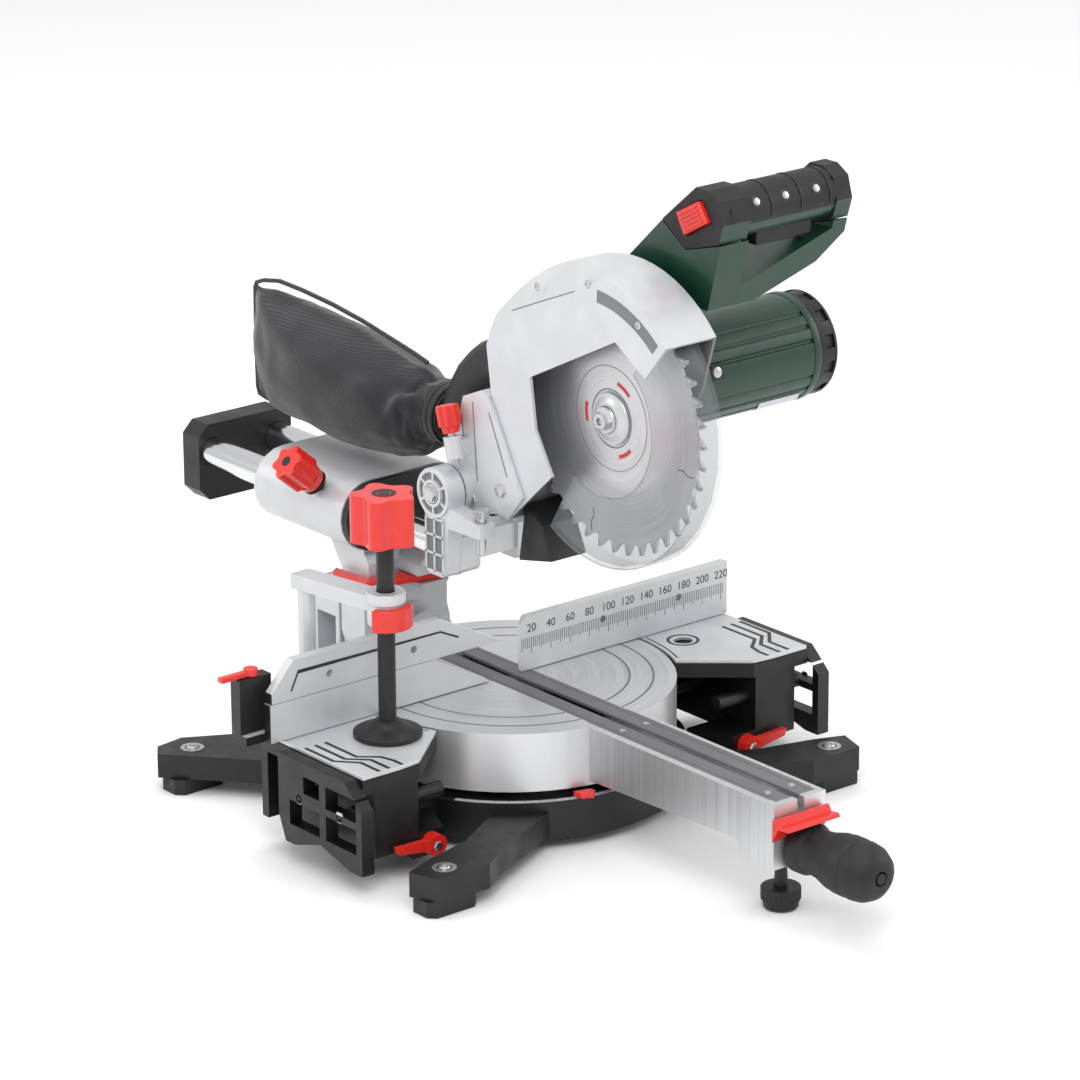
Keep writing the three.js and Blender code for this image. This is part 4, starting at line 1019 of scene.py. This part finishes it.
class SAW_OT_handle(bpy.types.Operator):
    """Operating handle, soft grip, release levers and trigger"""
    bl_idname = "saw.handle"
    bl_label = "Handle"

    def execute(self, context):
        sizes = context.scene.saw_sizes
        rounded_copy("handle_body", "green", sizes.mould_edge, 3)
        grip = rounded_copy("handle_grip", "grip", sizes.mould_edge, 3)
        repaint(grip, "green", lambda spot, out: spot.z < 0.4965)
        rounded_copy("trigger", "moulded", sizes.mould_edge * 0.8, 3)
        for side, name in ((-1, "left"), (1, "right")):
            rounded_copy(f"release_lever_{name}", "red", sizes.knob_edge)
            bm = bmesh.new()
            for i in range(5):
                t = 0.16 + 0.17 * i
                a = Vector((-195, 500.2)).lerp(Vector((-184.2, 515)), t)
                b = Vector((-168.2, 485.2)).lerp(Vector((-159.2, 501.5)), t)
                x = 101 + side * 69
                band(bm, [tuple(a.lerp(b, 0.12)), tuple(a.lerp(b, 0.88))], 1.3, "X", x - 0.2,
                     x + side * 1.0)
            finish_piece(f"release_ribs_{name}", bm, f"release_{name}", "red")
        self.screws()
        return {"FINISHED"}

    def screws(self):
        y, z = -188, 503
        wells, bolts, grooves = bmesh.new(), bmesh.new(), bmesh.new()
        a = radians(152)
        out = Vector((0, cos(a), sin(a)))
        turn = out.to_track_quat("Z", "X").to_matrix().to_4x4()
        for x in (72, 101, 132):
            spot = Matrix.Translation((Vector((x, y, z)) + out * 19.6) * MM)
            lathe(wells, [(-0.8, 0), (0.45, 0), (0.45, 4.6), (-0.8, 5.4)], "Z", (0, 0, 0), 28, spot @ turn)
            lathe(bolts, [(0, 0), (0.7, 0), (0.9, 1.6), (0.5, 3.0), (0, 3.0), (0, 0)], "Z", (0, 0, 0), 16,
                  spot @ turn)
        for x in (86, 116, 145):
            ring = [polar(y, z, 20.15, t) for t in range(40, 191, 6)]
            band(grooves, ring, 0.5, "X", x - 0.9, x + 0.9)
        # painted shade: near-black discs round the grip screws and near-black lines in the grip's grooves
        finish_piece("grip_screw_well_shade", wells, "head", "ink")
        finish_piece("grip_screws", bolts, "head", "steel")
        finish_piece("grip_groove_shade", grooves, "head", "ink")


class SAW_OT_dust(bpy.types.Operator):
    """Dust elbow, its collar, and the cloth dust bag"""
    bl_idname = "saw.dust"
    bl_label = "Dust bag"

    def execute(self, context):
        rounded_copy("dust_elbow", "moulded", 0.0006, 1)
        collar = bmesh.new()
        lathe(collar, [(78, 24.6), (79, 25.6), (84, 25.6), (85, 24.6), (86, 25.6), (91, 25.6), (92, 24.6),
                       (78, 24.6)],
              "Y", (8, 0, 291), 48)
        finish_piece("bag_collar", collar, "head", "elastic")
        self.bag()
        return {"FINISHED"}

    def bag(self):
        rings = [(94.2, 266, 314, 24), (99, 267, 313, 23.5), (104, 262, 318, 28), (114, 254, 325, 33),
                 (132, 247, 329, 37),
                 (160, 243, 334, 40), (200, 241, 341, 41), (240, 241, 346, 39), (280, 242, 349, 33),
                 (312, 243, 350, 22),
                 (334, 245, 346, 11), (344, 247, 342, 4.5)]
        sides = 40
        bm = bmesh.new()
        loops = []
        for y, low, high, half in rings:
            circle = bmesh.ops.create_circle(bm, cap_ends=False, radius=1, segments=sides)["verts"]
            for v in circle:
                c, s = v.co.x, v.co.y
                pinch = 1 - 0.35 * max(0.0, abs(s) - 0.75) / 0.25 if y > 110 else 1
                v.co = Vector((8 + half * c * pinch, y, (low + high) / 2 + (high - low) / 2 * s)) * MM
            loops.append(circle)
        for first, second in zip(loops, loops[1:]):
            edges = [e for v in first + second for e in v.link_edges
                     if set(e.verts) <= set(first) or set(e.verts) <= set(second)]
            bmesh.ops.bridge_loops(bm, edges=list(set(edges)))
        for ring in (loops[0], loops[-1]):
            bm.faces.new(ring)
        bmesh.ops.recalc_face_normals(bm, faces=bm.faces)
        lengthwise = [e for e in bm.edges if abs(e.verts[0].co.y - e.verts[1].co.y) > 0.01]
        bmesh.ops.subdivide_edges(bm, edges=lengthwise, cuts=3, use_grid_fill=True, smooth=0.5)
        bmesh.ops.triangulate(bm, faces=[f for f in bm.faces if len(f.verts) > 4])
        piece = finish_piece("dust_bag_cloth", bm, "head", "cloth", ("dust_bag",), smooth=180,
                             weighted=False)
        self.blow_up(piece)
        self.settle(piece)
        piece.modifiers.new("fine", "SUBSURF").levels = 1
        piece.modifiers["fine"].render_levels = 1
        seam = bmesh.new()
        top = [(y, high + 0.4) for y, low, high, half in rings[3:]]
        back = [(346.2, 338), (347, 300), (346.2, 252)]
        bottom = [(y, low - 0.4) for y, low, high, half in reversed(rings[3:])]
        band(seam, top + back + bottom, 3.2, "X", 6.9, 9.1)
        finish_piece("dust_bag_seam", seam, "head", "cloth")

    def blow_up(self, piece):
        """Cloth simulation under a little air pressure, with the neck and the far end held."""
        held = piece.vertex_groups.new(name="held")
        for v in piece.data.vertices:
            y = v.co.y / MM
            if y < 103 or y > 340:
                held.add([v.index], 1.0, "REPLACE")
        rest = [v.co.copy() for v in piece.data.vertices]
        cloth = piece.modifiers.new("cloth", "CLOTH")
        settings = cloth.settings
        settings.quality = 5
        settings.mass = 0.15
        settings.tension_stiffness = settings.compression_stiffness = 12
        settings.bending_stiffness = 0.4
        settings.shrink_min = -0.05
        settings.use_pressure = True
        settings.uniform_pressure_force = 1.2
        settings.vertex_group_mass = "held"
        settings.effector_weights.gravity = 0.4
        cloth.point_cache.frame_end = 20
        scene = bpy.context.scene
        for step in range(1, CLOTH_STEPS + 1):
            scene.frame_set(step)
        graph = bpy.context.evaluated_depsgraph_get()
        blown = piece.evaluated_get(graph).to_mesh()
        moved = [v.co.copy() for v in blown.vertices]
        piece.evaluated_get(graph).to_mesh_clear()
        piece.modifiers.remove(cloth)
        scene.frame_set(1)
        for vertex, old, new in zip(piece.data.vertices, rest, moved):
            step = new - old
            vertex.co = old + step * min(1.0, CLOTH_CAP / max(step.length, 1e-9))
        piece.vertex_groups.clear()

    def settle(self, piece):
        """Wrinkles that run from the gathered neck, and a soft crumple over the rest."""
        for vertex in piece.data.vertices:
            y = vertex.co.y / MM
            out = Vector((vertex.co.x - BAG_MIDDLE.x, 0, vertex.co.z - BAG_MIDDLE.z))
            angle = math.atan2(out.z, out.x)
            near = max(0.0, 1 - abs(y - 112) / 55) * (1 if y > 100 else 0.2)
            fold = sin(angle * 11 + 2.2 * sin(angle * 3)) * 1.9 * near
            crumple = noise.noise(Vector((vertex.co.x * 30, vertex.co.y * 22, vertex.co.z * 34))) * 4.2
            crumple += noise.noise(Vector((vertex.co.x * 80, vertex.co.y * 60, vertex.co.z * 70 + 5))) * 1.4
            calm = 0.0 if y < 98 else min(1.0, (y - 98) / 30)
            if out.length > 1e-6:
                vertex.co += out.normalized() * (fold + crumple * calm - 0.8 * calm) * MM


class SAW_OT_stage(bpy.types.Operator):
    """Pale floor, soft studio light and the camera"""
    bl_idname = "saw.stage"
    bl_label = "Studio"

    def execute(self, context):
        scene = context.scene
        bpy.ops.mesh.primitive_plane_add(size=14, location=(1.5, 2, -0.0006))
        floor = context.object
        floor.name = "studio_floor"
        material, tree, surface, place = start("matt_white_backdrop_paper")
        tone = tuple(scene.saw_colours.floor)
        tree.links.new(blotch(tree, place, 1.5, shade(tone, 0.985), tone), surface.inputs["Base Color"])
        surface.inputs["Roughness"].default_value = 0.9
        floor.data.materials.append(material)
        world = bpy.data.worlds.new("studio_air")
        world.use_nodes = True
        world.node_tree.nodes["Background"].inputs["Color"].default_value = (1, 1, 1, 1)
        world.node_tree.nodes["Background"].inputs["Strength"].default_value = 0.8
        scene.world = world
        lamps = (("key", (-1.6, -1.9, 2.6), (0, 0, 0.2), 1.6, 46),
                 ("fill", (2.6, -1.4, 1.6), (0, 0, 0.25), 1.8, 22),
                 ("top", (0.2, 0.6, 3.0), (0, 0, 0), 2.0, 34),
                 ("edge", (-2.2, 1.8, 1.5), (0, 0, 0.3), 1.0, 16))
        for name, spot, aim, size, power in lamps:
            light = bpy.data.lights.new(name, "AREA")
            light.shape, light.size, light.energy = "SQUARE", size, power
            lamp = bpy.data.objects.new(name, light)
            lamp.location = spot
            lamp.rotation_euler = (Vector(aim) - Vector(spot)).to_track_quat("-Z", "Y").to_euler()
            scene.collection.objects.link(lamp)
        eye = bpy.data.cameras.new("camera")
        eye.sensor_width, eye.lens = 36, 166.67
        eye.shift_x, eye.shift_y = 0.0261, 0.0639
        eye.clip_end = 60
        camera = bpy.data.objects.new("camera", eye)
        turn = (Matrix.Rotation(radians(-38.847), 4, "Z") @ Matrix.Rotation(radians(90 - 19.671), 4, "X")
                @ Matrix.Rotation(radians(-0.448), 4, "Z"))
        camera.matrix_world = Matrix.Translation((-2.3389, -2.9042, 1.4830)) @ turn
        scene.collection.objects.link(camera)
        scene.camera = camera
        scene.view_settings.view_transform = "Standard"
        return {"FINISHED"}


class SAW_PT_panel(bpy.types.Panel):
    """Lists the saw's operators and settings"""
    bl_idname = "SAW_PT_panel"
    bl_label = "Mitre saw"
    bl_space_type = "VIEW_3D"
    bl_region_type = "UI"
    bl_category = "Saw"

    def draw(self, context):
        for group in (context.scene.saw_sizes, context.scene.saw_colours):
            for name in group.__annotations__:
                self.layout.prop(group, name)
        for kind in BUILDERS:
            self.layout.operator(kind.bl_idname)


BUILDERS = (SAW_OT_base, SAW_OT_fences, SAW_OT_table_ends, SAW_OT_clamp, SAW_OT_turntable, SAW_OT_slide,
            SAW_OT_head,
            SAW_OT_motor, SAW_OT_blade, SAW_OT_handle, SAW_OT_dust, SAW_OT_stage)
CLASSES = (SawColours, SawSizes, *BUILDERS, SAW_PT_panel)


def register():
    for kind in CLASSES:
        bpy.utils.register_class(kind)
    bpy.types.Scene.saw_colours = bpy.props.PointerProperty(type=SawColours)
    bpy.types.Scene.saw_sizes = bpy.props.PointerProperty(type=SawSizes)


def unregister():
    del bpy.types.Scene.saw_colours
    del bpy.types.Scene.saw_sizes
    for kind in reversed(CLASSES):
        bpy.utils.unregister_class(kind)


def main():
    """Builds every piece in order."""
    register()
    make_materials(bpy.context.scene.saw_colours)
    for kind in BUILDERS:
        group, name = kind.bl_idname.split(".")
        getattr(getattr(bpy.ops, group), name)()


if __name__ == "__main__":
    main()
